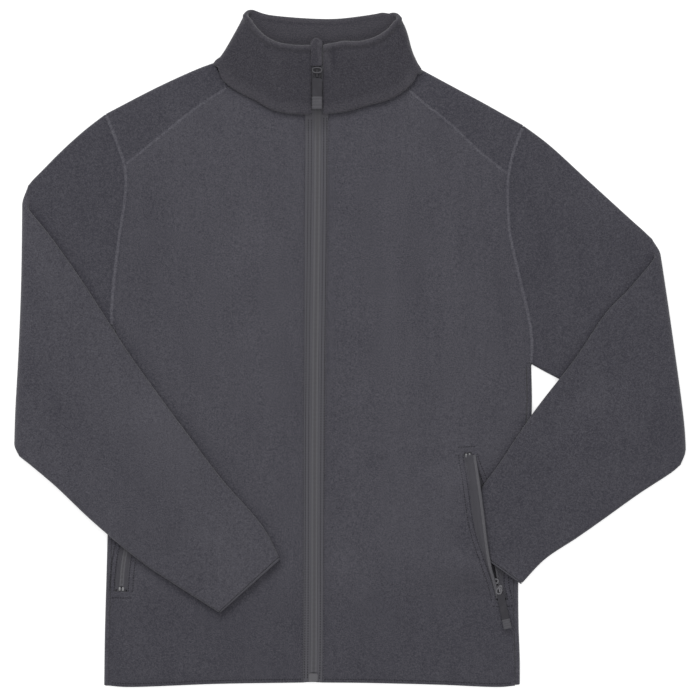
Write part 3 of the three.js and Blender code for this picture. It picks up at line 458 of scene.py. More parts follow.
def panel_lines(side):
    """The front's hem, its top, and the four lines that run up it."""
    heights = [side["side"][0][1], *side["pocket"], side["side"][-1][1]]
    places = [0, *POCKET_PLACES, UNDERARM_PLACE]
    hem = curve(side["hem"])
    top = chained([curve(side["neck"]), curve(side["yoke_seam"])], [NECK_SHARE])
    rough = [timed(curve(side[key]), heights, places) for key in ("pocket_front", "pocket_side")]
    hem_cuts = [float(hem.where(line(0.0)[0], 0)) for line in rough]
    top_cuts = [float(top.where(line(1.0)[0], 0)) for line in rough]
    inner = [pinned(line, hem(a), top(b)) for line, a, b in zip(rough, hem_cuts, top_cuts)]
    centre = timed(curve(side["centre"]), heights, places)
    outer = timed(side_edge(side, TURN_REACH + SIDE_SEAM_INSET), heights, places)
    return hem, top, [centre, *inner, outer], [0, *hem_cuts, 1], [0, *top_cuts, 1]


def sleeve_ribbon(side):
    """The sleeve as a flat ribbon: s from the armhole (0) to the fold (1 to 2) and the cuff (3)."""
    fold = curve([[x - side["sign"] * FOLD_REACH, y] for x, y in side["fold_edge"]])
    under, over = (part(fold, *[float(fold.where(y)) for y in side[key]]) for key in ("fold_under", "fold_over"))
    upper = patch(curve(side["armhole"]), under, curve(side["sleeve_top"]), curve(side["underarm"]))
    lower = patch(over, curve(side["cuff"]), curve(side["inner"]), curve(side["outer"]))

    def ribbon(s, t):
        s, t = np.broadcast_arrays(s, t)
        points = upper(t, np.minimum(s, 1))
        rounded = mix(under(t), over(t), np.clip(s - 1, 0, 1)[..., None])
        points = np.where((s > 1)[..., None], rounded, points)
        return np.where((s >= 2)[..., None], lower(t, np.maximum(s - 2, 0)), points)
    return ribbon


def sleeve_surface(side):
    """A flattened tube: the loop position u goes once round it, s along it. The half-round of its
    rim turns square to the sleeve's edge, and along a seam or the fold at their ends."""
    ribbon = sleeve_ribbon(side)

    def surface(u, s):
        u, s = np.broadcast_arrays(np.mod(u, 1), s)
        half = np.where(u < 0.5, 1.0, -1.0)
        round_part = np.where(u < 0.5, u, u - 0.5) / 0.45
        turned = np.clip(round_part - 1, 0, 1) * 0.45 * np.pi / 0.05
        held_part = np.minimum(round_part, 1)
        t = np.where(half > 0, held_part, 1 - held_part)
        rise = half * TURN_RADIUS * np.cos(turned)
        out = half * TURN_RADIUS * np.sin(turned)
        width = np.linalg.norm(ribbon(s, 1.0) - ribbon(s, 0.0), axis=-1)
        turn = np.clip(s - 1, 0, 1) * np.pi
        inset = (TURN_REACH + FOLD_CORNER * np.sin(turn)) / width
        held = inset + t * (1 - 2 * inset)
        ahead = unit(ribbon(s, np.minimum(held + 0.01, 1)) - ribbon(s, np.maximum(held - 0.01, 0)))
        low = np.where(s > 2, 2.0, 0.0)
        edge = ribbon(np.minimum(s + 0.01, low + 1), held) - ribbon(np.maximum(s - 0.01, low), held)
        square = unit(np.stack([-edge[..., 1], edge[..., 0]], -1))
        square = square * np.where((square * ahead).sum(-1) < 0, -1.0, 1.0)[..., None]
        portion = np.where(s > 2, s - 2, s)
        free = smooth(portion, 0, 0.12) * (1 - smooth(portion, 0.88, 1))
        free = np.where((s > 1) & (s < 2), 0.0, free)[..., None]
        way = unit(square * free + ahead * (1 - free))
        points = ribbon(s, held) + way * out[..., None]
        radius = FOLD_RADIUS - rise
        away = np.stack([-ahead[..., 1], ahead[..., 0]], -1)
        away = away * np.where(away[..., :1] * side["sign"] < 0, -1.0, 1.0)
        points = points + away * (radius * np.sin(turn))[..., None]
        lift = sleeve_bulge(side, points) * smooth(s, 2, 2.2)
        return raised(points, FOLD_MID - radius * np.cos(turn) + lift)
    return surface


def heading(line, v):
    return unit(line(np.minimum(v + 0.01, 1)) - line(np.maximum(v - 0.01, 0)))


def climb(v, share):
    """Round the collar's turn the rim climbs from the front part to the back part."""
    return mix(RIM_CLIMB["front"], RIM_CLIMB["back"], share) * smooth(v, 0.5, 1)


def climbed(line, share):
    return Line(line(EVEN) + heading(line, EVEN) * climb(EVEN, share)[:, None], EVEN)


def collar_lines():
    """Front parts, back part and side lines of the collar."""
    def reach(v):
        return mix(COLLAR_TURN["neck"], COLLAR_TURN["rim"], v) + COLLAR_CLOTH / 2
    lines = {}
    parts = {}
    behind = {}
    for key, side in SIDES.items():
        lines[key] = beside(curve(side["collar_side"]), lambda v, sign=side["sign"]: sign * reach(v))
        front_line = climbed(lines[key], 0.0)
        behind[key] = climbed(lines[key], 1.0)
        neck_rows = [*side["neck"][:-1], side["neck_side"][1], front_line(0.0)]
        rim_rows = [*side["rim"][:-1], front_line(1.0)]
        parts[key] = patch(curve(neck_rows), curve(rim_rows), curve(side["collar_centre"]), front_line)
    low = curve([lines["right"](0.0), [-128, 308.5], [-78.5, 300.5], [-35.5, 298.5], [7.5, 299.5],
                 [55, 305.5], lines["left"](0.0)])
    top = pinned(curve(BACK_RIM), behind["right"](1.0), behind["left"](1.0))
    return lines, parts, patch(low, top, behind["right"], behind["left"])


def collar_surface(u, v):
    """u from the zip on the right (0) over the right turn (1 to 2), the back (2 to 3) and the left
    turn (3 to 4) to the zip on the left (5); v from the neck seam to the rim."""
    lines, parts, behind = collar_lines()
    u, v = np.broadcast_arrays(u, v)
    radius = mix(COLLAR_TURN["neck"], COLLAR_TURN["rim"], v)
    front_height = COLLAR_BACK_MID + 2 * radius
    shape = raised(parts["right"](np.minimum(u, 1), v), front_height)
    shape = np.where((u >= 4)[..., None], raised(parts["left"](np.clip(5 - u, 0, 1), v), front_height), shape)
    within = (u >= 2) & (u <= 3)
    shape = np.where(within[..., None], raised(behind(np.clip(u - 2, 0, 1), v), COLLAR_BACK_MID), shape)
    for key, low, sign in (("right", 1, 1), ("left", 3, -1)):
        line = lines[key]
        turn = np.clip(u - low if sign > 0 else 4 - u, 0, 1) * np.pi
        step = heading(line, v)
        out = np.stack([-step[..., 1], step[..., 0]], -1) * sign
        points = line(v) + out * (radius * np.sin(turn))[..., None]
        points = points + step * climb(v, (1 - np.cos(turn)) / 2)[..., None]
        points = points - step * (1.5 * np.sin(turn) * (1 - smooth(v, 0, 0.3)))[..., None]
        height = COLLAR_BACK_MID + radius * (1 + np.cos(turn))
        inside = (u > low) & (u < low + 1)
        shape = np.where(inside[..., None], raised(points, height), shape)
    return shape


NECK_HEIGHT = 268
RIM_HEIGHT = 343
COLLAR_SLOPE = 2 * (COLLAR_TURN["rim"] - COLLAR_TURN["neck"]) / (RIM_HEIGHT - NECK_HEIGHT)


def zip_mid(y):
    """Middle height of the centre zip: level down the fronts, rising with the collar."""
    on_collar = COLLAR_BACK_MID + 2 * COLLAR_TURN["neck"] + COLLAR_SLOPE * (y - NECK_HEIGHT)
    return mix(FRONT_MID, on_collar, smooth(y, NECK_HEIGHT - 22, NECK_HEIGHT + 2))


# Folds and hollows of the cloth as it lies

def inside_of(points, outline, soft):
    """1 inside a closed plan outline, falling to 0 over the soft width outside it."""
    x = points[..., 0].ravel()
    y = points[..., 1].ravel()
    ends = np.roll(outline, -1, axis=0)
    crossing = np.zeros(len(x), bool)
    gap = np.full(len(x), 1e9)
    for (ax, ay), (bx, by) in zip(outline, ends):
        if ay != by:
            hit = (ay > y) != (by > y)
            crossing ^= hit & (x < ax + (y - ay) * (bx - ax) / (by - ay))
        span = (bx - ax) ** 2 + (by - ay) ** 2 + 1e-9
        share = np.clip(((x - ax) * (bx - ax) + (y - ay) * (by - ay)) / span, 0, 1)
        gap = np.minimum(gap, np.hypot(x - ax - share * (bx - ax), y - ay - share * (by - ay)))
    shade = np.where(crossing, 1.0, 1 - smooth(gap, 0, soft))
    return shade.reshape(points.shape[:-1])


def forearm_outline(side):
    inner = curve(side["inner"])(np.linspace(0, 1, 24))
    outer = curve(side["outer"])(np.linspace(1, 0, 24))
    return np.vstack([inner, outer])


# Soft creases of the fronts. Columns: start x, start y, end x, end y, half width, height.
FRONT_CREASES = [
    [-232, 150, -150, -40, 34, 1.3],
    [-90, 120, -110, -160, 30, 0.8],
    [-176, 60, -90, -150, 24, -0.9],
    [-70, -120, -84, -330, 28, 0.9],
    [-130, -300, -60, -372, 26, -0.7],
    [104, 130, 112, -60, 9, 0.55],
    [126, 128, 134, -54, 8, -0.5],
    [146, 110, 152, -40, 10, 0.5],
    [24, 220, 40, -40, 36, 0.9],
    [30, -120, 118, -190, 26, 1.1],
    [70, -200, 96, -330, 30, 0.8],
    [14, -250, 30, -370, 22, -0.6],
    [160, 120, 186, 20, 14, -0.7],
    [60, 210, 150, 160, 22, 0.6],
]
# Soft creases of the sleeves as they lie, in the same columns
SLEEVE_CREASES = [
    [-355, 60, -345, -80, 18, 1.2],
    [-330, 40, -250, -120, 16, -0.8],
    [-300, -60, -180, -210, 20, 0.9],
    [-250, -150, -150, -250, 14, -0.6],
    [-352, 150, -300, 70, 12, 0.9],
    [-330, 200, -290, 90, 20, -0.7],
    [-300, 210, -276, 60, 16, 0.8],
    [340, 60, 352, -70, 18, 1.1],
    [320, -60, 250, -180, 20, 0.8],
    [290, -20, 200, -150, 16, -0.7],
    [220, 200, 300, 110, 18, 0.8],
    [208, 150, 250, 20, 20, -0.9],
    [330, 100, 270, 30, 12, 0.8],
]


def creases(points, table):
    """The sum of long soft ridges and troughs: each is a bell across its line that fades towards
    its two ends."""
    x = points[..., 0]
    y = points[..., 1]
    height = np.zeros(points.shape[:-1])
    for ax, ay, bx, by, width, rise in table:
        span = np.hypot(bx - ax, by - ay)
        along = ((x - ax) * (bx - ax) + (y - ay) * (by - ay)) / span ** 2
        bend = 0.06 * span * np.sin(np.pi * along)
        off = ((x - ax) * (by - ay) - (y - ay) * (bx - ax)) / span + bend
        ends = smooth(along, -0.15, 0.3) * (1 - smooth(along, 0.7, 1.15))
        height += rise * np.exp(-(off / width) ** 2) * ends
    return height


WAVES = np.random.default_rng(7).uniform(-1, 1, (14, 4))


def waves(points, size, height):
    """A seeded sum of slow sines in all directions: the cloth's own unevenness."""
    total = np.zeros(points.shape[:-1])
    for a, b, c, d in WAVES:
        way = np.pi * a
        pitch = size * (1 + 0.5 * b)
        total += np.sin((points[..., 0] * np.cos(way) + points[..., 1] * np.sin(way)) * 2 * np.pi / pitch
                        + 7 * c) * (0.6 + 0.4 * d)
    return height * total / np.sqrt(len(WAVES))


def runs(middle):
    """Distances along each grid line from its two ends: across from both, then up from both."""
    across = np.linalg.norm(np.diff(middle, axis=0), axis=-1)
    up = np.linalg.norm(np.diff(middle, axis=1), axis=-1)
    across = np.concatenate([np.zeros((1, middle.shape[1])), np.cumsum(across, 0)])
    up = np.concatenate([np.zeros((middle.shape[0], 1)), np.cumsum(up, 1)], 1)
    return across, across[-1:] - across, up, up[:, -1:] - up


def front_lie(side, points):
    """Folds of a front, kept off the parts that a forearm lies on."""
    covered = inside_of(points, forearm_outline(side), 26)
    lie = creases(points, FRONT_CREASES) + waves(points, 120, 0.35)
    lie = lie + waves(points[..., [1, 0, 2]], 46, 0.14)
    return (lie + 0.9) * (1 - covered)


def sewn_down(distance):
    """The share of a fold's height that is left this far from a sewn edge."""
    return smooth(distance, 0, 14)


def front(name, side):
    """Front panel: three Coons patches side by side, open between two of them at the pocket."""
    hem, top, lines, hem_cuts, top_cuts = panel_lines(side)
    widths = [200, 10, 26]
    across = [steps(width, 3.0) for width in widths]
    low, high = POCKET_PLACES
    height = 645.0
    rows = np.concatenate([
        low * steps(low * height, 3.0)[:-1],
        low + (high - low) * steps((high - low) * height, 3.0)[:-1],
        high + (1 - high) * steps((1 - high) * height, 3.0),
    ])
    parts = []
    for k in range(3):
        plan = patch(part(hem, hem_cuts[k], hem_cuts[k + 1]), part(top, top_cuts[k], top_cuts[k + 1]),
                     lines[k], lines[k + 1])
        points = plan(across[k][:, None], rows[None])
        lift = lip_lift(points[..., 0], points[..., 1]) if side["sign"] > 0 and k == 0 else 0.0
        parts.append(raised(points, FRONT_MID + lift)[: None if k == 2 else -1])
    middle = np.concatenate(parts)
    strip = np.arange(len(middle) - 1)
    in_strip = (strip >= len(parts[0])) & (strip < len(parts[0]) + len(parts[1]))
    in_slit = (rows[:-1] > low - 1e-6) & (rows[:-1] < high - 1e-6)
    missing = in_strip[:, None] & in_slit[None]
    relief = front_lie(side, middle) * sewn_down(np.minimum.reduce(runs(middle)))
    piece = cloth(f"fleece_front_{name}", middle, FLEECE, missing=missing, relief=relief,
                  flip=side["sign"] < 0)
    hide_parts(f"front_{name}")
    return piece


def back_panel():
    """Back: flat under the fronts, its sides turned up round them to the side seams."""
    edges = {}
    for key, side in SIDES.items():
        heights = [side["side"][0][1], *side["pocket"], side["side"][-1][1]]
        edges[key] = timed(side_edge(side, TURN_REACH), heights, [0, *POCKET_PLACES, UNDERARM_PLACE])
    seams = [back(curve(RIGHT["yoke_back_seam"])), curve(BACK_NECK), curve(LEFT["yoke_back_seam"])]
    hem = curve([edges["right"](0.0), [-148.5, -378], [-40, -376.5], [102, -379], edges["left"](0.0)])
    plan = patch(hem, chained(seams, [0.3, 0.7]), edges["right"], edges["left"])
    rows = np.concatenate([
        UNDERARM_PLACE * steps(400, 4.0)[:-1],
        UNDERARM_PLACE + (1 - UNDERARM_PLACE) * steps(245, 4.0),
    ])
    fan = np.linspace(0, 1, 9)
    u = np.concatenate([[0, 0.5], 1 + fan[:-1], 2 + steps(460, 4.0, ends=(False, False))[:-1],
                        3 + fan[:-1], [4, 4.5, 5]])[:, None]
    flat = raised(plan(np.clip(u - 2, 0, 1), rows[None]), BACK_MID)
    for key, sign, turn in (("right", -1, 2 - u), ("left", 1, u - 3)):
        edge = edges[key](rows)[None]
        bend = np.clip(turn, 0, 1) * np.pi
        reach = TURN_RADIUS * np.sin(bend) - SIDE_SEAM_INSET * np.clip(turn - 1, 0, 1)
        height = TUBE_MID - TURN_RADIUS * np.cos(bend) + 0 * rows
        spot = raised(np.stack([edge[..., 0] + sign * reach, edge[..., 1] + 0 * reach], -1), height)
        flat = np.where((turn > 0)[..., None], spot, flat)
    turned = (u[:-1, 0] < 2 - 1e-6) | (u[:-1, 0] > 3 - 1e-6)
    missing = turned[:, None] & (rows[:-1] > UNDERARM_PLACE - 1e-6)[None]
    piece = cloth("fleece_back", flat, FLEECE, missing=missing)
    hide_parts("back")
    return piece


def yoke(name, side):
    """Shoulder yoke: from the front seam over the shoulder edge to the back seam."""
    up = back(curve(side["armhole"]))
    inset = TURN_REACH / up.length()
    arm_edge = part(up, up.where(side["armhole_join"]), 1 - inset)
    outline = beside(curve(side["shoulder"]), -side["sign"] * TURN_REACH)
    shoulder = pinned(outline, outline(0.0), arm_edge(1.0))
    neck_side = curve(side["neck_side"])
    neck_edge = pinned(neck_side, neck_side(0.0), shoulder(0.0))
    front_part = patch(neck_edge, arm_edge, curve(side["yoke_seam"]), shoulder)
    back_neck_edge = curve([shoulder(0.0), side["yoke_back_seam"][0]])
    back_part = patch(back_neck_edge, back(arm_edge), shoulder, curve(side["yoke_back_seam"]))
    arm_out = unit(arm_edge(1.0) - arm_edge(0.9))
    v = steps(135, 3.0)[None]
    u = np.concatenate([steps(60, 3.0, ends=(True, False))[:-1], 1 + np.linspace(0, 1, 9)[:-1],
                        2 + steps(60, 3.0, ends=(False, True))])[:, None]
    step = unit(shoulder(np.minimum(v + 0.01, 1)) - shoulder(np.maximum(v - 0.01, 0)))
    across = np.stack([-step[..., 1], step[..., 0]], -1) * side["sign"]
    outward = unit(mix(across, arm_out, smooth(v, 0.7, 1)[..., None]))
    turn = np.clip(u - 1, 0, 1) * np.pi
    round_edge = shoulder(v) + outward * (TURN_RADIUS * np.sin(turn))[..., None]
    shape = raised(round_edge, TUBE_MID + TURN_RADIUS * np.cos(turn) + 0 * v)
    on_front = (u <= 1)[..., None]
    on_back = (u >= 2)[..., None]
    shape = np.where(on_front, raised(front_part(np.minimum(u, 1), v), FRONT_MID), shape)
    shape = np.where(on_back, raised(back_part(np.clip(u - 2, 0, 1), v), BACK_MID), shape)
    piece = cloth(f"fleece_yoke_{name}", shape, FLEECE, flip=side["sign"] < 0)
    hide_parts(f"yoke_{name}")
    return piece


def sleeve(name, side):
    """Sleeve: a flattened tube from the armhole over the elbow fold to the cuff's binding."""
    surface = sleeve_surface(side)
    flat = np.linspace(0, 0.45, 76)[:-1]
    turn = np.linspace(0.45, 0.5, 9)[:-1]
    u = np.concatenate([flat, turn, flat + 0.5, turn + 0.5])[:, None]
    length = curve(side["inner"]).length()
    binding_start = 3 - BINDING_WIDTH / length
    rows = np.concatenate([
        steps(190, 3.2, ends=(True, False))[:-1],
        1 + np.linspace(0, 1, 15)[:-1],
        2 + (binding_start - 2) * steps(length, 3.2, ends=(False, True)),
    ])[None]
    middle = surface(u, rows)

    def relief(points, normal):
        upward = smooth(normal[..., 2], 0.2, 0.8)
        covered = inside_of(points, forearm_outline(side), 22) * (rows < 1.5)
        sewn = smooth(rows * 190, 0, 14) * smooth((binding_start - rows) * length, 0, 12)
        fold = 1 - smooth(rows, 0.9, 1.0) * (1 - smooth(rows, 2.0, 2.06))
        lie = creases(points, SLEEVE_CREASES) + waves(points, 95, 0.35)
        tucked = smooth(points[..., 1], -262, -150) if side["sign"] > 0 else 1.0
        return (lie + 0.9) * upward * (1 - covered) * sewn * fold * np.where(rows > 1.5, tucked, 1.0)
    piece = cloth(f"fleece_sleeve_{name}", middle, FLEECE, around=True, relief=relief,
                  flip=side["sign"] > 0)
    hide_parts(f"sleeve_{name}")
    ring_rows = binding_start + (3 - binding_start) * steps(BINDING_WIDTH, 0.8)[None]
    ring = cloth(f"cuff_binding_{name}_band", surface(u, ring_rows), FLEECE, around=True,
                 flip=side["sign"] > 0)
    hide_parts(f"cuff_binding_{name}")
    return piece, ring


# How far the collar lies over the fronts, and where its two front edges lie beside the zip
NECK_OVERLAP = 3.6
ZIP_EDGES = (-42.4, -30.2)


def collar():
    """Stand collar lying open: a rolled rim with a groove under it, and a roll at the neck seam."""
    v = steps(74, 2.2)[None]
    flat = steps(118, 3.0, ends=(True, False))
    fan = np.linspace(0, 1, 15)
    u = np.concatenate([flat[:-1], 1 + fan[:-1], 2 + steps(190, 3.0, ends=(False, False))[:-1],
                        3 + fan[:-1], 4 + (1 - flat[::-1])])[:, None]
    middle = collar_surface(u, v)
    # The neck edge lies over the fronts, and the front edges over the zip's tapes
    down = unit(middle[:, 4:5] - middle[:, :1])
    over = NECK_OVERLAP * (1 - smooth(v, 0, 0.14)) * (1 - smooth(u, 1.6, 2) * (1 - smooth(u, 3, 3.4)))
    middle = middle - down * over[..., None]
    for near_zip, edge in ((1 - smooth(u, 0, 0.13), ZIP_EDGES[0]), (smooth(u, 4.86, 5), ZIP_EDGES[1])):
        middle[..., 0] = mix(middle[..., 0], edge, near_zip)

    def relief(points, normal):
        _, _, from_neck, from_rim = runs(points)
        rim_roll = 2.0 * np.exp(-((from_rim - 3.4) / 3.2) ** 2)
        rim_groove = -1.3 * np.exp(-((from_rim - 9.5) / 2.6) ** 2)
        neck_roll = 1.5 * np.exp(-((from_neck - 6) / 4.8) ** 2)
        neck_groove = -0.6 * np.exp(-((from_neck - 13) / 3.5) ** 2)
        outside = smooth(normal[..., 2], -0.1, 0.5) * ((u < 2) | (u > 3))
        inside_seam = -0.9 * np.exp(-((from_rim - 6) / 1.3) ** 2) * ((u >= 2) & (u <= 3))
        # On the wearer's left the cloth beside the zip rolls over its guard
        from_zip = points[..., 0] - ZIP_EDGES[1]
        roll = 2.6 * np.exp(-((from_zip - 3.5) / 3.4) ** 2) - 1.2 * np.exp(-((from_zip - 11.5) / 2.6) ** 2)
        roll = roll * (u > 4) * smooth(points[..., 1], 302, 326)
        rolls = rim_roll + rim_groove + neck_roll + neck_groove + roll + waves(points, 70, 0.3)
        return rolls * outside + inside_seam
    piece = cloth("fleece_collar", middle, COLLAR_CLOTH, relief=relief, flip=True,
                  edge_radius=mix(0.7, COLLAR_CLOTH / 2, smooth(v, 0.4, 0.8)))
    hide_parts("collar")
    return piece


# Zips

ZIP_LINE = curve(ZIP_ROWS)


# How far a tape runs on under the cloth or the coil beside it
TUCK = 0.9


def zip_tape(name, side):
    edge = chained([curve(side["centre"]), curve(side["collar_centre"])],
                   [(NECK_HEIGHT + 376.5) / (RIM_HEIGHT + 376.5)])
    edge = beside(edge, side["sign"] * -TUCK)
    inner = beside(ZIP_LINE, -side["sign"] * (MAIN_CHAIN["half_width"] - TUCK))
    v = steps(719, 3.0)[None]
    u = steps(8, 1.6, fine=(0.0, 0.25, 0.6))[:, None]
    plan = mix(edge(v), inner(v), u[..., None])
    piece = cloth(f"woven_tape_{name}", raised(plan, zip_mid(plan[..., 1])), TAPE, flip=side["sign"] < 0)
    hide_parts(f"zip_tape_{name}")
    return piece


def coil_run(name, line, node, half_width, thick, height, pitch, lifted=None):
    """A run of coil seen from its tape side: two soft ridges with a groove between them, and a
    fine ripple where each coil turns."""
    length = line.length()
    v = np.linspace(0, 1, int(length / 1.5))[None]
    u = np.linspace(0, 1, 13)[:, None]
    ahead = unit(line(np.minimum(v + 0.004, 1)) - line(np.maximum(v - 0.004, 0)))
    left = np.stack([-ahead[..., 1], ahead[..., 0]], -1)
    plan = line(v) + left * (half_width * (1 - 2 * u))[..., None]
    ridge = 0.5 - 0.5 * np.cos(4 * np.pi * u)
    ripple = 0.08 * np.sin(2 * np.pi * v * length / pitch)
    relief = thick * 0.3 * ridge + ripple - 0.1
    piece = cloth(name, raised(plan, height(plan[..., 1])), thick * 0.62, relief=relief, flip=True)
    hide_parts(node)
    return piece


def garage():
    """Rolled loop of cloth over the top of the zip: an arched tab, domed across its width, with a
    soft crease down its middle."""
    left, right, low, top = -44.0, -30.4, 318.6, 350.6
    u = steps(13, 0.9, fine=(0, 0.2, 0.5))[:, None]
    v = steps(31, 1.2, fine=(0, 0.2, 0.5))[None]
    across = 2 * u - 1
    arch = np.sqrt(np.clip(1 - 0.97 * np.abs(across) ** 2, 0, 1))
    waist = 1 - 0.12 * np.sin(np.pi * v)
    x = (left + right) / 2 + (right - left) / 2 * across * waist
    y = low + 1.2 * across ** 2 + (top - low - 8.5) * v + 8.5 * v * arch
    points = np.stack([x, y + 0 * x], -1)
    thick = 1.4
    height = zip_mid(points[..., 1]) + COLLAR_CLOTH / 2
    dome = 3.4 * (1 - across ** 2) - 0.9 * np.exp(-((across - 0.15) / 0.22) ** 2) * (1 - smooth(v, 0.6, 0.85))
    piece = cloth("garage_tab", raised(points, height), thick, flip=True, relief=dome, edge_radius=0.7)
    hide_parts("zip_garage")
    return piece


def pocket_lips(side):
    """The two edges of a pocket's opening and the line midway between them."""
    _, _, lines, _, _ = panel_lines(side)
    lips = [part(line, *POCKET_PLACES) for line in lines[1:3]]
    return lips, Line((lips[0](EVEN) + lips[1](EVEN)) / 2, EVEN)


# The open pocket's front tape and coil lie over the edge behind them. From the slider up: x, y.
BAND_EDGE = curve([[172, -290], [164.5, -261], [160.1, -244.7], [154.8, -210.8], [152.3, -189.3],
                   [148.8, -162.3], [142.8, -117], [142, -110]])
BAND_RISE = 2.2
COIL_SHOWN = 4.2


def pocket_zip(name, side, is_open):
    """A tape on each edge of the opening. The open pocket's coils stand apart on their tapes."""
    lips, middle = pocket_lips(side)
    run = POCKET_CHAIN["half_width"]
    made = []
    for key, lip in zip(("front", "side"), lips):
        def height(points, key=key):
            lifted = is_open and key == "front"
            return POCKET_ZIP_MID + (lip_lift(points[..., 0], points[..., 1]) if lifted else 0)
        v = mix(0.012, 0.988, steps(165, 2.5))[None]
        edge = lip(v)
        to_middle = middle(v) - edge
        half = np.linalg.norm(to_middle, axis=-1)
        towards = unit(to_middle)
        room = half - run - 2 * SEAM - 0.5
        opening = np.clip(room, 0.2, 1.5) if is_open else 0 * room
        if key == "side":
            opening = 0.4 - opening
        across = steps(7, 1.0, fine=(0, 0.2, 0.5))[:, None]
        rim = edge + towards * (half - opening)[..., None]
        rise = 0
        if is_open and key == "front":
            rim = BAND_EDGE(BAND_EDGE.where(edge[..., 1]))
            rise = BAND_RISE * smooth(across, 0.1, 0.6)
        inward = unit(rim - edge)
        plan = mix(edge - towards * TUCK, rim - inward * (run - TUCK), across[..., None])
        up = height(np.broadcast_to(edge, plan.shape)) + rise
        flip = (key == "front") == (side["sign"] < 0)
        tape = cloth(f"woven_pocket_tape_{name}_{key}", raised(plan, up), TAPE, flip=flip)
        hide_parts(f"pocket_tape_{name}_{key}")
        made.append(("tape", tape))
        if is_open:
            across = np.linspace(0, 1, 7)[:, None]
            plan = rim - inward * ((COIL_SHOWN if key == "front" else run) * (1 - across))[..., None]
            up = height(np.broadcast_to(edge, plan.shape)) + (BAND_RISE if key == "front" else 0)
            ripple = 0.2 * np.sin(np.pi * across) + 0.06 * np.sin(2 * np.pi * v * 165 / 2.4)
            coil = cloth(f"wound_pocket_coil_{name}_{key}", raised(plan, up), POCKET_CHAIN["thick"],
                         flip=flip, relief=ripple)
            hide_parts(f"pocket_coil_{name}_{key}")
            made.append(("coil", coil))
    return made, middle


def softened(node, name, width, body, segments=2):
    """A copy of a node's solid, merged, with its edges rounded."""
    mesh = frame["nodes"][node].data.copy()
    work = bmesh.new()
    work.from_mesh(mesh)
    bmesh.ops.remove_doubles(work, verts=work.verts, dist=2e-6)
    bmesh.ops.dissolve_limit(work, angle_limit=0.02, verts=work.verts, edges=work.edges)
    work.to_mesh(mesh)
    work.free()
    mesh.materials.clear()
    piece = bpy.data.objects.new(name, mesh)
    bpy.context.scene.collection.objects.link(piece)
    bevel = piece.modifiers.new("rounded", "BEVEL")
    bevel.width = width * MM
    bevel.segments = segments
    bevel.limit_method = "ANGLE"
    bevel.angle_limit = 0.5
    bevel.use_clamp_overlap = True
    mesh.shade_smooth()
    piece.modifiers.new("flat faces kept flat", "WEIGHTED_NORMAL")
    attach(piece, body)
    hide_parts(node)
    return piece


def seam_ridge(name, line, top, width=4.8, rise=1.25):
    """A sewn seam seen from outside: a low half-round ridge of turned cloth along the line."""
    v = steps(line.length(), 2.5, fine=(0, 0.4))[None]
    u = np.linspace(0, 1, 9)[:, None]
    ahead = unit(line(np.minimum(v + 0.006, 1)) - line(np.maximum(v - 0.006, 0)))
    left = np.stack([-ahead[..., 1], ahead[..., 0]], -1)
    plan = line(v) + left * (width * (0.5 - u))[..., None]
    middle = raised(plan, top - 0.35)
    piece = cloth(name, middle, 0.8, relief=rise * np.sin(np.pi * u) + 0 * v, flip=True)
    # The ridge takes the lighter fleece as a painted highlight, lighter still along its crest and darker at its
    # sides
    return finish_with(piece, seam_ridge_painted_highlight, "fleece", near_line(line, 0.86, 1.14, width / 4))


def near_line(line, away, on, reach):
    """Tone that is one value on a plan line and another away from it."""
    path = line(np.linspace(0, 1, max(2, int(line.length() / 2))))

    def tone(spots):
        return mix(away, on, np.exp(-(nearest(spots[:, :2], path) / reach) ** 2))
    return tone


# Finishes

class Value:
    """A socket whose arithmetic adds Math nodes to its material."""

    def __init__(self, maker, socket):
        self.maker = maker
        self.socket = socket

    def _math(self, operation, a, b=None):
        values = {0: a} if b is None else {0: a, 1: b}
        return self.maker.node("ShaderNodeMath", {"operation": operation}, values)

    def __add__(self, other):
        return self._math("ADD", self, other)

    def __radd__(self, other):
        return self._math("ADD", other, self)

    def __sub__(self, other):
        return self._math("SUBTRACT", self, other)

    def __rsub__(self, other):
        return self._math("SUBTRACT", other, self)

    def __mul__(self, other):
        return self._math("MULTIPLY", self, other)

    def __rmul__(self, other):
        return self._math("MULTIPLY", other, self)

    def wave(self):
        """A sine of the value, between 0 and 1."""
        return 0.5 + 0.5 * self._math("SINE", self)

    def step(self, low, high):
        """0 below low, 1 above high, smooth between."""
        settings = {"interpolation_type": "SMOOTHSTEP", "clamp": True}
        return self.maker.node("ShaderNodeMapRange", settings, {"Value": self, "From Min": low, "From Max": high})


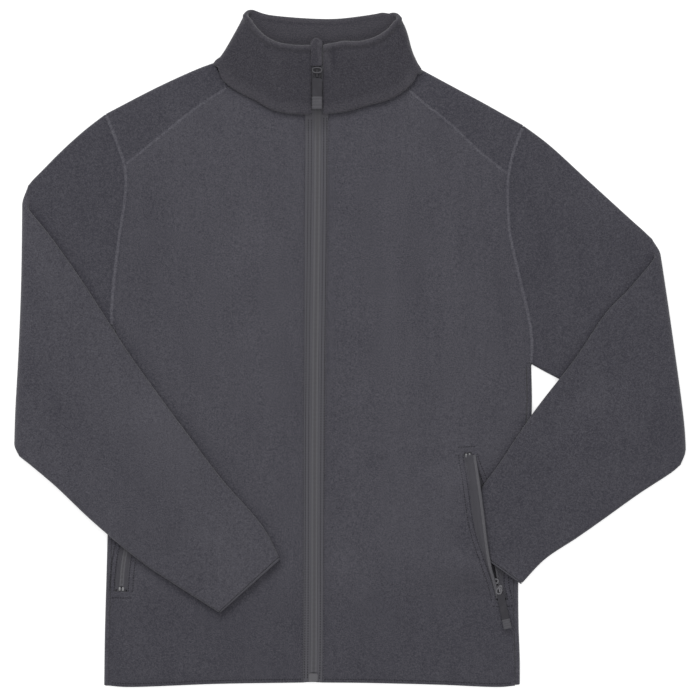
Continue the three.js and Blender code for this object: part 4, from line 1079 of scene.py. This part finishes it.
class Finish:
    """A material whose nodes are added by their type, settings and inputs."""

    def __init__(self, name):
        self.material = bpy.data.materials.new(name)
        self.material.use_nodes = True
        self.tree = self.material.node_tree
        self.shader = self.tree.nodes["Principled BSDF"]
        self.place = self.node("ShaderNodeTexCoord", {}, {}, "Object")

    def feed(self, socket, value):
        if isinstance(value, Value):
            self.tree.links.new(value.socket, socket)
        else:
            socket.default_value = value

    def node(self, kind, settings, inputs, output=0):
        made = self.tree.nodes.new(kind)
        for key, value in settings.items():
            setattr(made, key, value)
        for key, value in inputs.items():
            self.feed(made.inputs[key], value)
        return Value(self, made.outputs[output])

    def noise(self, size, detail=2.0, stretch=(1, 1, 1), rough=0.5):
        """Noise whose lumps are about size millimetres across, stretched along the axes."""
        scaled = self.node("ShaderNodeVectorMath", {"operation": "MULTIPLY"},
                           {0: self.place, 1: [1 / (size * MM * k) for k in stretch]})
        return self.node("ShaderNodeTexNoise", {"noise_dimensions": "3D"},
                         {"Vector": scaled, "Scale": 1.0, "Detail": detail, "Roughness": rough})

    def axis(self, name):
        return self.node("ShaderNodeSeparateXYZ", {}, {0: self.place}, name)

    def blend(self, share, a, b):
        """A colour mixed from a at 0 to b at 1."""
        return self.node("ShaderNodeMix", {"data_type": "RGBA"}, {0: share, 6: a, 7: b}, 2)

    def bump(self, height, depth, normal=None):
        inputs = {"Height": height, "Distance": depth * MM, "Strength": 1.0}
        if normal is not None:
            inputs["Normal"] = normal
        return self.node("ShaderNodeBump", {}, inputs)

    def surface(self, **values):
        for key, value in values.items():
            self.feed(self.shader.inputs[key.replace("_", " ")], value)
        return self.material


def linear(red, green, blue, level=1.0):
    """A colour given as the 0 to 255 values a picture shows, scaled in light."""
    shown = np.array([red, green, blue]) / 255
    light = np.where(shown <= 0.04045, shown / 12.92, ((shown + 0.055) / 1.055) ** 2.4) * level
    return (*[float(x) for x in light], 1.0)


def fleece_finish(name, shown, pile=1.0):
    """Short brushed pile: clumps and fibres in bump and tone, slow clouds where the pile lies
    another way."""
    finish = Finish(name)
    clumps = finish.noise(2.3, 2.0)
    fibres = finish.noise(1.15, 2.0)
    clouds = finish.noise(45, 3.0, (1, 1.6, 1))
    streaks = finish.noise(8, 2.0, (1, 6, 1))
    painted_light_and_pile = finish.node("ShaderNodeAttribute", {"attribute_name": "painted_light_and_pile"}, {}, "Fac")
    tone = 0.5 + 0.8 * (clumps - 0.5) + 1.7 * (fibres - 0.5) + 0.3 * (clouds - 0.5) + 0.22 * (streaks - 0.5)
    # The attribute adds each piece's painted light and shade and its pile tone to the colour
    tone = tone + 1.25 * (painted_light_and_pile - 1)
    red, green, blue = shown
    base = finish.blend(tone, linear(red, green, blue + 2.5, 0.6), linear(red, green, blue - 1, 1.4))
    surface = finish.bump(0.62 * clumps + 0.38 * fibres, 0.9 * pile)
    return finish.surface(Base_Color=base, Roughness=0.96, Normal=surface, Sheen_Weight=0.18,
                          Sheen_Roughness=0.55, Specular_IOR_Level=0.12)


def woven_finish(name, shown, pitch=0.9, rough=0.78):
    """Tightly woven tape: crossed ribs a pitch apart."""
    finish = Finish(name)
    painted_light_and_pile = finish.node("ShaderNodeAttribute", {"attribute_name": "painted_light_and_pile"}, {}, "Fac")
    x = finish.axis("X") * (2 * np.pi / (pitch * MM))
    y = finish.axis("Y") * (2 * np.pi / (pitch * MM))
    weave = x.wave() * y.wave()
    speck = finish.noise(1.6, 2.0)
    # The attribute adds the piece's painted light and shade to the colour
    tone = 0.55 * weave + 0.45 * speck + 2 * (painted_light_and_pile - 1)
    base = finish.blend(tone, linear(*shown, 0.72), linear(*shown, 1.2))
    return finish.surface(Base_Color=base, Roughness=rough, Normal=finish.bump(weave + 0.5 * speck, 0.25),
                          Specular_IOR_Level=0.3)


def coil_finish(name, shown):
    """Nylon coil under its woven tape: ribs across the run and a fine sheen."""
    finish = Finish(name)
    painted_light_and_pile = finish.node("ShaderNodeAttribute", {"attribute_name": "painted_light_and_pile"}, {}, "Fac")
    ribs = (finish.axis("Y") * (2 * np.pi / (1.45 * MM))).wave()
    lines = (finish.axis("X") * (2 * np.pi / (1.1 * MM))).wave()
    speck = finish.noise(1.2, 2.0)
    # The attribute adds the piece's painted light and shade to the colour
    tone = 0.4 * ribs + 0.3 * lines + 0.3 * speck + 1.6 * (painted_light_and_pile - 1)
    base = finish.blend(tone, linear(*shown, 0.6), linear(*shown, 1.25))
    return finish.surface(Base_Color=base, Roughness=0.6, Normal=finish.bump(ribs + 0.6 * lines, 0.2),
                          Specular_IOR_Level=0.4)


def moulded_finish(name, shown, rough=0.55, metal=0.0, worn=0.25):
    """Moulded or cast and painted: a faint grain, and lighter where hands have rubbed it."""
    finish = Finish(name)
    grain = finish.noise(0.7, 3.0)
    rub = finish.noise(7, 2.0).step(0.5, 0.75)
    base = finish.blend(0.3 * grain + worn * rub, linear(*shown, 0.85), linear(*shown, 1.5))
    return finish.surface(Base_Color=base, Roughness=rough + 0.15 * grain - 0.1 * rub, Metallic=metal,
                          Normal=finish.bump(grain, 0.06), Specular_IOR_Level=0.25)


fleece_cloth = fleece_finish("fleece brushed", (75, 74, 81))
# A darker copy of the same fleece: painted shade on the collar, whose front faces away from the light
collar_fleece_painted_darker = fleece_finish("fleece collar painted darker for shade", (67, 65.5, 71.5), 0.8)
# A lighter copy of the same fleece: painted highlight on the seam ridges
seam_ridge_painted_highlight = fleece_finish("seam ridge fleece painted lighter for highlight", (84, 83, 90), 0.4)
binding_cloth = woven_finish("binding tape", (84, 83, 90))
tape_cloth = woven_finish("zip tape", (93, 92, 98))
pocket_tape_cloth = woven_finish("pocket zip tape", (79, 78, 84))
coil_plastic = coil_finish("zip coil", (91, 90, 95))
bag_cloth = moulded_finish("pocket bag knit", (60, 59, 64), 0.8, 0.0, 0.1)
rubber = moulded_finish("moulded puller", (57, 56, 61), 0.65)
retainer_rubber = moulded_finish("moulded retainer", (98, 97, 101), 0.5)
rubber_grip = moulded_finish("moulded grip", (80, 79, 84), 0.5)
# Coloured dark as painted shade in the slot under the slider's ring
slider_painted_dark_for_shade = moulded_finish("slider darkened for painted shade", (52, 51, 55), 0.42, 0.2)
bright_paint = moulded_finish("rubbed slider ring", (108, 107, 111), 0.36, 0.3)
worn_paint = moulded_finish("worn slider ring", (84, 83, 87), 0.4, 0.3)
stop_metal = moulded_finish("plated stop", (140, 140, 142), 0.32, 0.4)
thread = woven_finish("sewing thread", (48, 47, 52), 0.5, 0.7)
light_thread = woven_finish("sewing thread on ridges", (97, 96, 103), 0.5, 0.7)


def finish_with(piece, material, slot, painted_light_and_pile=None):
    """Gives a piece its material, and at each point its painted light and shade and pile tone (1 is even). slot is
    not used.
    """
    if material is not bag_cloth:
        mesh = piece.data
        spots = np.zeros(len(mesh.vertices) * 3)
        mesh.vertices.foreach_get("co", spots)
        spots = spots.reshape(-1, 3) / MM - MODEL_SHIFT
        values = np.ones(len(spots)) if painted_light_and_pile is None else painted_light_and_pile(spots)
        mesh.attributes.new("painted_light_and_pile", "FLOAT", "POINT").data.foreach_set("value", values.astype(np.float32))
    piece.data.materials.clear()
    piece.data.materials.append(material)
    return piece


# Panels

# Soft areas painted lighter or darker: painted light and shade where the cloth dips, and tone where the pile lies
# another way.
# Columns: x, y, half length, half width, heading in degrees from X, tone.
FRONT_SHADE_AND_PILE = [
    [-118, 135, 150, 48, 90, 0.04],
    [46, 56, 150, 9, 90, 0.07],
    [116, 56, 140, 10, 90, 0.07],
    [79, 50, 120, 10, 90, -0.03],
    [-225, 112, 95, 22, 85, -0.07],
    [172, 60, 100, 15, 100, -0.08],
    [80, -103, 58, 9, 4, 0.06],
    [24, -128, 44, 8, 35, -0.05],
    [-8, -270, 70, 13, 90, 0.05],
    [-120, -60, 60, 30, 70, 0.03],
    [60, -230, 60, 26, 110, 0.03],
]
SLEEVE_SHADE_AND_PILE = [
    [-356, 118, 48, 11, 112, 0.12],
    [-214, -91, 100, 26, 128, 0.10],
    [-325, -57, 80, 24, 108, -0.05],
    [-258, -136, 80, 10, 132, -0.05],
    [-150, -225, 46, 34, 120, 0.12],
    [271, -57, 34, 18, 60, 0.10],
    [356, -100, 34, 16, 80, -0.07],
    [283, 44, 90, 9, 48, 0.05],
    [300, 150, 60, 20, 130, 0.05],
    [215, 120, 60, 10, 95, -0.04],
]


def pile(spots, table):
    """The sum of soft oval areas of painted light and shade and of pile tone, each a bell along and across its
    heading.
    """
    total = np.zeros(len(spots))
    for x, y, along, across, angle, tone in table:
        ahead = np.array([np.cos(np.radians(angle)), np.sin(np.radians(angle))])
        off = spots[:, :2] - [x, y]
        run = off @ ahead
        beside_it = off @ np.array([-ahead[1], ahead[0]])
        total += tone * np.exp(-(run / along) ** 2 - (beside_it / across) ** 2)
    return total


def front_painted_shade_and_pile(side):
    """Painted shade: darker towards the hem where the light falls off, in the shadow of the collar, along the
    armhole seam and beside the forearm, plus soft areas of painted light and shade and pile tone.
    """
    neck_line = curve([*side["neck"], *side["neck_side"][1:]])
    painted_collar_shadow = near_line(neck_line, 0.0, -0.2, 9)
    seam_shade = near_line(curve(side["armhole"]), 0.0, -0.1, 4.5)

    def tone(spots):
        y = spots[:, 1]
        low = 0.87 + 0.125 * smooth(y, -305, -235)
        shade = inside_of(spots[:, None, :2], forearm_outline(side), 13)[:, 0]
        return low + pile(spots, FRONT_SHADE_AND_PILE) + painted_collar_shadow(spots) + seam_shade(spots) - 0.13 * shade
    return tone


def sleeve_painted_shade_and_pile(side):
    """Darker over the upper arm, with painted shade beside the forearm that lies on it and along the armhole seam,
    lighter at the cuff, plus soft areas of painted light and shade and pile tone.
    """
    seam_shade = near_line(curve(side["armhole"]), 0.0, -0.1, 4.5)
    cuff_light = near_line(curve(side["cuff"]), 0.0, 0.09, 7)

    def tone(spots):
        on_forearm = inside_of(spots[:, None, :2], forearm_outline(side), 9)[:, 0]
        upper = (spots[:, 2] < FOLD_MID) & (spots[:, 1] > -60)
        base = np.where(upper, 0.85 - 0.12 * on_forearm, 0.975 if side["sign"] < 0 else 0.87)
        return base + pile(spots, SLEEVE_SHADE_AND_PILE) + seam_shade(spots) + np.where(upper, 0, cuff_light(spots))
    return tone


def yoke_painted_shade(side):
    """Darker than the fronts, with painted shade beside the collar."""
    painted_collar_shadow = near_line(curve([*side["neck"][-2:], *side["neck_side"][1:]]), 0.0, -0.15, 9)
    return lambda spots: 0.86 + painted_collar_shadow(spots)


# The rolled edge of the collar's left front beside the zip's guard, where a highlight is painted with painted shade
# beside it
ZIP_FOLD = np.array([[-26.5, 341.0], [-25.5, 330.0], [-23.5, 317.0]])


def collar_painted_light_and_shade(spots):
    """Painted light and shade: lighter on its rolled rim, at the neck seam and inside than on its front, darker in
    the groove under the rim, with a painted highlight and painted shade on the roll beside the zip.
    """
    x, y = spots[:, 0], spots[:, 1]
    rims = [curve(side["rim"]) for side in SIDES.values()]
    necks = [curve([*side["neck"], *side["neck_side"][1:]]) for side in SIDES.values()]
    rolled = np.maximum(*[near_line(line, 0.0, 1.0, 4.8)(spots) for line in rims])
    sewn = np.maximum(*[near_line(line, 0.0, 1.0, 7)(spots) for line in necks])
    rim_height = np.interp(x, *np.concatenate([line(np.linspace(0, 1, 20)) for line in
                                               (back(rims[0]), rims[1])]).T)
    inside = smooth(y - rim_height, 4, 9) * (x > -112) * (x < 52)
    back_edge = curve(BACK_RIM[1:-1])
    hem = 0.14 * near_line(back_edge, 0.0, 1.0, 2.6)(spots) - 0.3 * near_line(beside(back_edge, -5), 0.0, 1.0, 1.2)(spots)
    groove = np.maximum(*[near_line(beside(line, 9 * side["sign"]), 0.0, 1.0, 3)(spots)
                          for line, side in zip(rims, SIDES.values())])
    zip_fold = near_line(Line(ZIP_FOLD), 0.0, 0.32, 2.6)(spots) - near_line(Line(ZIP_FOLD + [7.5, 0]), 0.0, 0.22, 2.6)(spots)
    front_tone = 0.36 * rolled - 0.12 * groove + 0.2 * sewn + zip_fold
    return 0.84 + front_tone * (1 - inside) + (0.19 + hem) * inside


fronts = {name: finish_with(front(name, side), fleece_cloth, "fleece", front_painted_shade_and_pile(side))
          for name, side in SIDES.items()}
behind = finish_with(back_panel(), fleece_cloth, "fleece", lambda spots: 0.93 + 0 * spots[:, 0])
yokes = {name: finish_with(yoke(name, side), fleece_cloth, "fleece", yoke_painted_shade(side))
         for name, side in SIDES.items()}
for name, side in SIDES.items():
    tube_piece, ring_piece = sleeve(name, side)
    finish_with(tube_piece, fleece_cloth, "fleece", sleeve_painted_shade_and_pile(side))
    finish_with(ring_piece, binding_cloth, "binding")
neck_collar = finish_with(collar(), collar_fleece_painted_darker, "fleece", collar_painted_light_and_shade)

# Centre zip

RETAINER_TOP = -365.6
CHAIN_TOP = 314.8


def coil_painted_light_and_shade(line, half_width):
    """Painted light and shade: lighter on the two ridges than in the groove between them and at the edges, and
    painted shade inside the collar.
    """
    path = line(np.linspace(0, 1, max(2, int(line.length() / 2))))

    def tone(spots):
        away = nearest(spots[:, :2], path) / half_width
        return 0.68 + 0.4 * np.exp(-((away - 0.58) / 0.27) ** 2) - 0.28 * smooth(spots[:, 1], 228, 262)
    return tone


def tape_painted_shade(spots):
    """Painted shade inside the collar."""
    return 1 - 0.3 * smooth(spots[:, 1], 240, 264)


def garage_painted_highlights(spots):
    """Painted highlights: lighter along its arched edge and on the crest of its soft crease."""
    arch = curve([[-44, 326], [-43.4, 343], [-37.4, 350], [-31, 343], [-30.6, 326]])
    crest = Line(np.array([[-34.5, 344.0], [-33.5, 322.0]]))
    return 0.86 + near_line(arch, 0.0, 0.4, 1.6)(spots) + near_line(crest, 0.0, 0.26, 1.8)(spots)


for name, side in SIDES.items():
    finish_with(zip_tape(name, side), tape_cloth, "zip_tape", tape_painted_shade)
zip_run = part(ZIP_LINE, float(ZIP_LINE.where(RETAINER_TOP - TUCK)), float(ZIP_LINE.where(CHAIN_TOP)))
finish_with(coil_run("coil_chain", zip_run, "zip_chain", MAIN_CHAIN["half_width"], MAIN_CHAIN["thick"],
                     zip_mid, 1.45), coil_plastic, "zip_coil", coil_painted_light_and_shade(zip_run, MAIN_CHAIN["half_width"]))
finish_with(garage(), collar_fleece_painted_darker, "fleece", garage_painted_highlights)
finish_with(softened("zip_retainer", "retainer_box", 0.5, "jacket"), retainer_rubber, "rubber_trim")
finish_with(softened("zip_slider", "main_slider", 0.35, "jacket"), slider_painted_dark_for_shade, "slider_metal")
finish_with(softened("zip_pull", "main_puller", 0.45, "main_pull"), rubber, "rubber_trim")


def ring(name, centre, outer, wire, heading_degrees=0.0, slope=0.0, body="jacket"):
    """A loop of round wire: a small circle carried round a squarish oval that rises by its slope."""
    t = np.linspace(0, 2 * np.pi, 33)[:, None]
    a = np.linspace(0, 2 * np.pi, 11)[None]
    reach = [half - wire for half in outer]
    square = [np.sign(f(t)) * np.abs(f(t)) ** 0.7 for f in (np.cos, np.sin)]
    path = np.stack([reach[0] * square[0], reach[1] * square[1]], -1)
    out = unit(np.stack([reach[1] * np.cos(t), reach[0] * np.sin(t)], -1))
    flat = path + out * (wire * np.cos(a))[..., None]
    turn = np.radians(heading_degrees)
    spin = np.array([[np.cos(turn), np.sin(turn)], [-np.sin(turn), np.cos(turn)]])
    points = raised(flat @ spin + centre[:2], centre[2] + wire * np.sin(a) + slope * flat[..., 1])
    faces = grid_faces(33, 11, np.ones((32, 10), bool), False)
    return mesh_piece(name, points.reshape(-1, 3), faces, body)


def puller_frame(node, pin):
    """The end of a pull, the way to it from its pin, and the two ways square to that."""
    mesh = frame["nodes"][node].data
    spots = np.zeros(len(mesh.vertices) * 3)
    mesh.vertices.foreach_get("co", spots)
    spots = spots.reshape(-1, 3) / MM - MODEL_SHIFT
    reach = np.linalg.norm(spots - pin, axis=1)
    far = spots[reach > reach.max() - 1.2]
    end = (far.min(0) + far.max(0)) / 2
    ahead = unit(end - pin)
    across = unit(np.cross(ahead, [0.0, 0.0, 1.0]))
    return end, ahead, across, np.cross(across, ahead)


def grip(name, node, pin, length, width, thick, body):
    """Ribbed end of a pull: an oval box carried along the pull, its size rising at each rib."""
    end, ahead, across, up = puller_frame(node, pin)
    v = np.concatenate([[0, 0], np.linspace(0, 1, 41), [1, 1]])
    closing = np.array([0, 0.82, *[1] * 41, 0.82, 0])
    rib = 0.5 - 0.5 * np.cos(2 * np.pi * v * 4)
    angle = np.linspace(0, 2 * np.pi, 25)[:, None]
    cos, sin = np.cos(angle), np.sin(angle)
    wide = np.sign(cos) * np.abs(cos) ** 0.4 * (width / 2 + 0.25 * rib) * closing
    tall = np.sign(sin) * np.abs(sin) ** 0.5 * (thick / 2 + 0.3 * rib) * closing
    along = -length * (1 - v) + 0.4
    points = end + along[None, :, None] * ahead + wide[..., None] * across + tall[..., None] * up
    faces = grid_faces(25, 45, np.ones((24, 44), bool), False)
    return finish_with(mesh_piece(name, points.reshape(-1, 3), faces[:, ::-1], body), rubber_grip,
                       "rubber_trim")


def pin_of(joint):
    return np.array(next(row for row in frame["record"]["behaviour"]["joints"]
                         if row["name"] == joint)["pos_m"]) / MM - MODEL_SHIFT


# The ring leans on the slider's crown, so that the pull's two arms swing up through it
main_pin = pin_of("main_pull_hinge")
finish_with(ring("main_slider_ring", main_pin + [0.07, 3.24, 1.88], (6.0, 3.8), 0.9, slope=-0.52), worn_paint,
            "slider_metal")
grip("main_grip", "zip_pull", main_pin, 14, 11.6, 3.0, "main_pull")

# Pocket zips

for name, side, is_open in (("right", RIGHT, False), ("left", LEFT, True)):
    made, middle_line = pocket_zip(name, side, is_open)
    for kind, piece in made:
        finish_with(piece, pocket_tape_cloth if kind == "tape" else coil_plastic,
                    "zip_tape" if kind == "tape" else "zip_coil")
    body = "pocket_pull" if is_open else "jacket"
    finish_with(softened(f"pocket_slider_{name}", f"side_slider_{name}", 0.3, "jacket"), bright_paint,
                "slider_metal")
    finish_with(softened(f"pocket_pull_{name}", f"side_puller_{name}", 0.35, body), rubber, "rubber_trim")
    if not is_open:
        run = part(middle_line, 0.03, 0.945)
        finish_with(coil_run("coil_pocket_chain", run, f"pocket_chain_{name}", POCKET_CHAIN["half_width"],
                             POCKET_CHAIN["thick"], lambda y: POCKET_ZIP_MID + 0 * y, 1.2),
                    coil_plastic, "zip_coil", coil_painted_light_and_shade(run, POCKET_CHAIN["half_width"]))
for name in SIDES:
    finish_with(frame["nodes"][f"pocket_bag_{name}"], bag_cloth, "pocket_bag")
left_pin = pin_of("pocket_pull_hinge")
right_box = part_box("pocket_pull_right")
right_pin = np.array([right_box[1][0], right_box[1][1], left_pin[2] * MM]) / MM - MODEL_SHIFT - [3.2, 2.0, 0]
grip("side_grip_left", "pocket_pull_left", left_pin, 11, 8.9, 2.7, "pocket_pull")
grip("side_grip_right", "pocket_pull_right", right_pin, 11, 8.9, 2.7, "jacket")
for k, (centre, outer) in enumerate((((165.4, -261.6, 12.2), (3.2, 3.4)), ((168.6, -272.6, 11.6), (3.8, 4.4)))):
    finish_with(ring(f"side_slider_ring_left_{k + 1}", centre, outer, 1.15, -12), bright_paint, "slider_metal")


def pocket_end(name, side, at, beyond):
    """A short piece of tape that closes the end of a pocket's opening, and two plated stops on it."""
    _, middle_line = pocket_lips(side)
    ahead = unit(middle_line(min(at + 0.02, 1.0)) - middle_line(max(at - 0.02, 0.0)))
    left = np.array([-ahead[1], ahead[0]])
    seat = middle_line(at)
    across = np.linspace(-6, 6, 9)[:, None, None]
    along = np.linspace(-5, 5, 8)[None, :, None]
    patch_plan = seat + left * across + ahead * along
    finish_with(cloth(f"tape_end_{name}", raised(patch_plan, POCKET_ZIP_MID - 0.6), TAPE, flip=True),
                pocket_tape_cloth, "zip_tape")
    turn = np.linspace(0, 2 * np.pi, 17)[:, None]
    size = np.array([0, 1.0, 1.0, 0.6, 0])
    rise = np.array([-0.8, -0.8, 0.8, 1.2, 1.2])
    square = [np.sign(f(turn)) * np.abs(f(turn)) ** 0.5 for f in (np.cos, np.sin)]
    for k in (-1, 1):
        spot = seat - ahead * beyond + left * 1.9 * k
        plan = spot + left * (1.2 * size * square[0])[..., None] + ahead * (2.4 * size * square[1])[..., None]
        points = raised(plan, POCKET_ZIP_MID + rise + 0 * turn)
        faces = grid_faces(17, 5, np.ones((16, 4), bool), False)
        stop = mesh_piece(f"stop_{name}_{k + 2}", points.reshape(-1, 3), faces)
        finish_with(stop, stop_metal, "slider_metal")


pocket_end("left", LEFT, 1.0, 3.0)
pocket_end("right", RIGHT, 0.0, -3.0)

# Sewn seams

CLOTH_TOP = FRONT_MID + FLEECE / 2
for name, side in SIDES.items():
    seam_ridge(f"seam_armhole_{name}", part(curve(side["armhole"]), 0.012, 0.995), CLOTH_TOP)
    seam_ridge(f"seam_yoke_{name}", part(curve(side["yoke_seam"]), 0.03, 0.985), CLOTH_TOP, 4.2, 1.0)


def on_cloth(side, plan, from_edge, lifted=False):
    """A plan line set on top of a front, a distance from its sewn edge, or on the lip that the cuff
    carries."""
    points = raised(plan(np.linspace(0, 1, max(2, int(plan.length() / 2)))), CLOTH_TOP)
    lift = lip_lift(points[:, 0], points[:, 1]) if lifted else 0
    points[:, 2] += lift + front_lie(side, points) * sewn_down(from_edge)
    return points


def on_tape(plan, top):
    points = plan(np.linspace(0, 1, max(2, int(plan.length() / 2))))
    return raised(points, zip_mid(points[:, 1]) + top)


zip_body = part(ZIP_LINE, 0.005, float(ZIP_LINE.where(262.0)))
for name, side in SIDES.items():
    sign = side["sign"]
    zip_edge = beside(curve(side["centre"]), -sign * 1.6)
    finish_with(threads(f"stitches_zip_{name}", on_cloth(side, part(zip_edge, 0.004, 0.985), 1.6)),
                light_thread, "zip_tape")
    for row, away in (("inner", 6.9), ("outer", 10.4)):
        path = on_tape(beside(zip_body, -sign * away), TAPE / 2)
        finish_with(threads(f"stitches_tape_{name}_{row}", path), thread, "zip_tape")
    hem_line = beside(curve(side["hem"]), 4.0 * sign)
    finish_with(threads(f"stitches_hem_{name}", on_cloth(side, part(hem_line, 0.01, 0.99), 4.0)), thread, "fleece")
    lips, _ = pocket_lips(side)
    for k, (key, lip) in enumerate(zip(("front", "side"), lips)):
        outward = sign * (1 if k == 0 else -1)
        lifted = side is LEFT and key == "front"
        finish_with(threads(f"stitches_pocket_{name}_{key}", on_cloth(side, beside(lip, outward * 1.5), 14, lifted)),
                    thread, "zip_tape")
        finish_with(threads(f"stitches_frame_{name}_{key}", on_cloth(side, beside(lip, outward * 6.5), 14, lifted)),
                    thread, "zip_tape")
    ends = [lip(at) for at in (0.0, 1.0) for lip in lips]
    for end, (a, b), step_out in (("low", ends[:2], -7), ("high", ends[2:], 7)):
        along = unit(lips[0](1.0) - lips[0](0.85)) if end == "high" else unit(lips[0](0.15) - lips[0](0.0))
        out = unit(b - a)
        row = Line(np.array([a - out * 6.5 + along * step_out, b + out * 6.5 + along * step_out]))
        finish_with(threads(f"stitches_frame_{name}_{end}", on_cloth(side, row, 14)), thread, "zip_tape")

# Surface, light and camera

SHOWN_WIDTH = 790.3
VIEW_MIDDLE = Vector(((MODEL_SHIFT + [0.565, -0.794, 8.0]) * MM).tolist())


def pale_surface():
    """A plain pale table top, lit by itself so that it reads as white."""
    bpy.ops.mesh.primitive_plane_add(size=6, location=(0, 0, -0.0004))
    floor = bpy.context.object
    floor.name = "floor"
    finish = Finish("pale surface")
    floor.data.materials.append(finish.surface(Base_Color=(0.8, 0.8, 0.8, 1), Roughness=0.9,
                                               Emission_Color=(1, 1, 1, 1), Emission_Strength=0.55))


def soft_light(name, place, size, power, colour=(1, 1, 1)):
    """A square soft light facing the jacket."""
    lamp = bpy.data.lights.new(name, "AREA")
    lamp.size = size
    lamp.energy = power
    lamp.color = colour
    holder = bpy.data.objects.new(name, lamp)
    bpy.context.scene.collection.objects.link(holder)
    holder.location = place
    holder.rotation_euler = (-Vector(place)).to_track_quat("-Z", "Y").to_euler()


pale_surface()
soft_light("key above the collar", (-0.7, 2.2, 2.0), 1.5, 34)
soft_light("fill from overhead", (0.2, -0.4, 3.0), 2.6, 34)
world = bpy.data.worlds.new("studio")
world.use_nodes = True
world.node_tree.nodes["Background"].inputs["Color"].default_value = (1, 1, 1, 1)
world.node_tree.nodes["Background"].inputs["Strength"].default_value = 0.42
bpy.context.scene.world = world
bpy.context.scene.view_settings.view_transform = "Standard"
bpy.context.scene.view_settings.look = "None"

lens = bpy.data.cameras.new("overhead")
lens.sensor_width = 36
lens.lens = 180
lens.clip_end = 20
camera = bpy.data.objects.new("overhead", lens)
bpy.context.scene.collection.objects.link(camera)
distance = SHOWN_WIDTH * MM * lens.lens / lens.sensor_width
camera.location = VIEW_MIDDLE + Vector((0, 0, distance))
bpy.context.scene.camera = camera
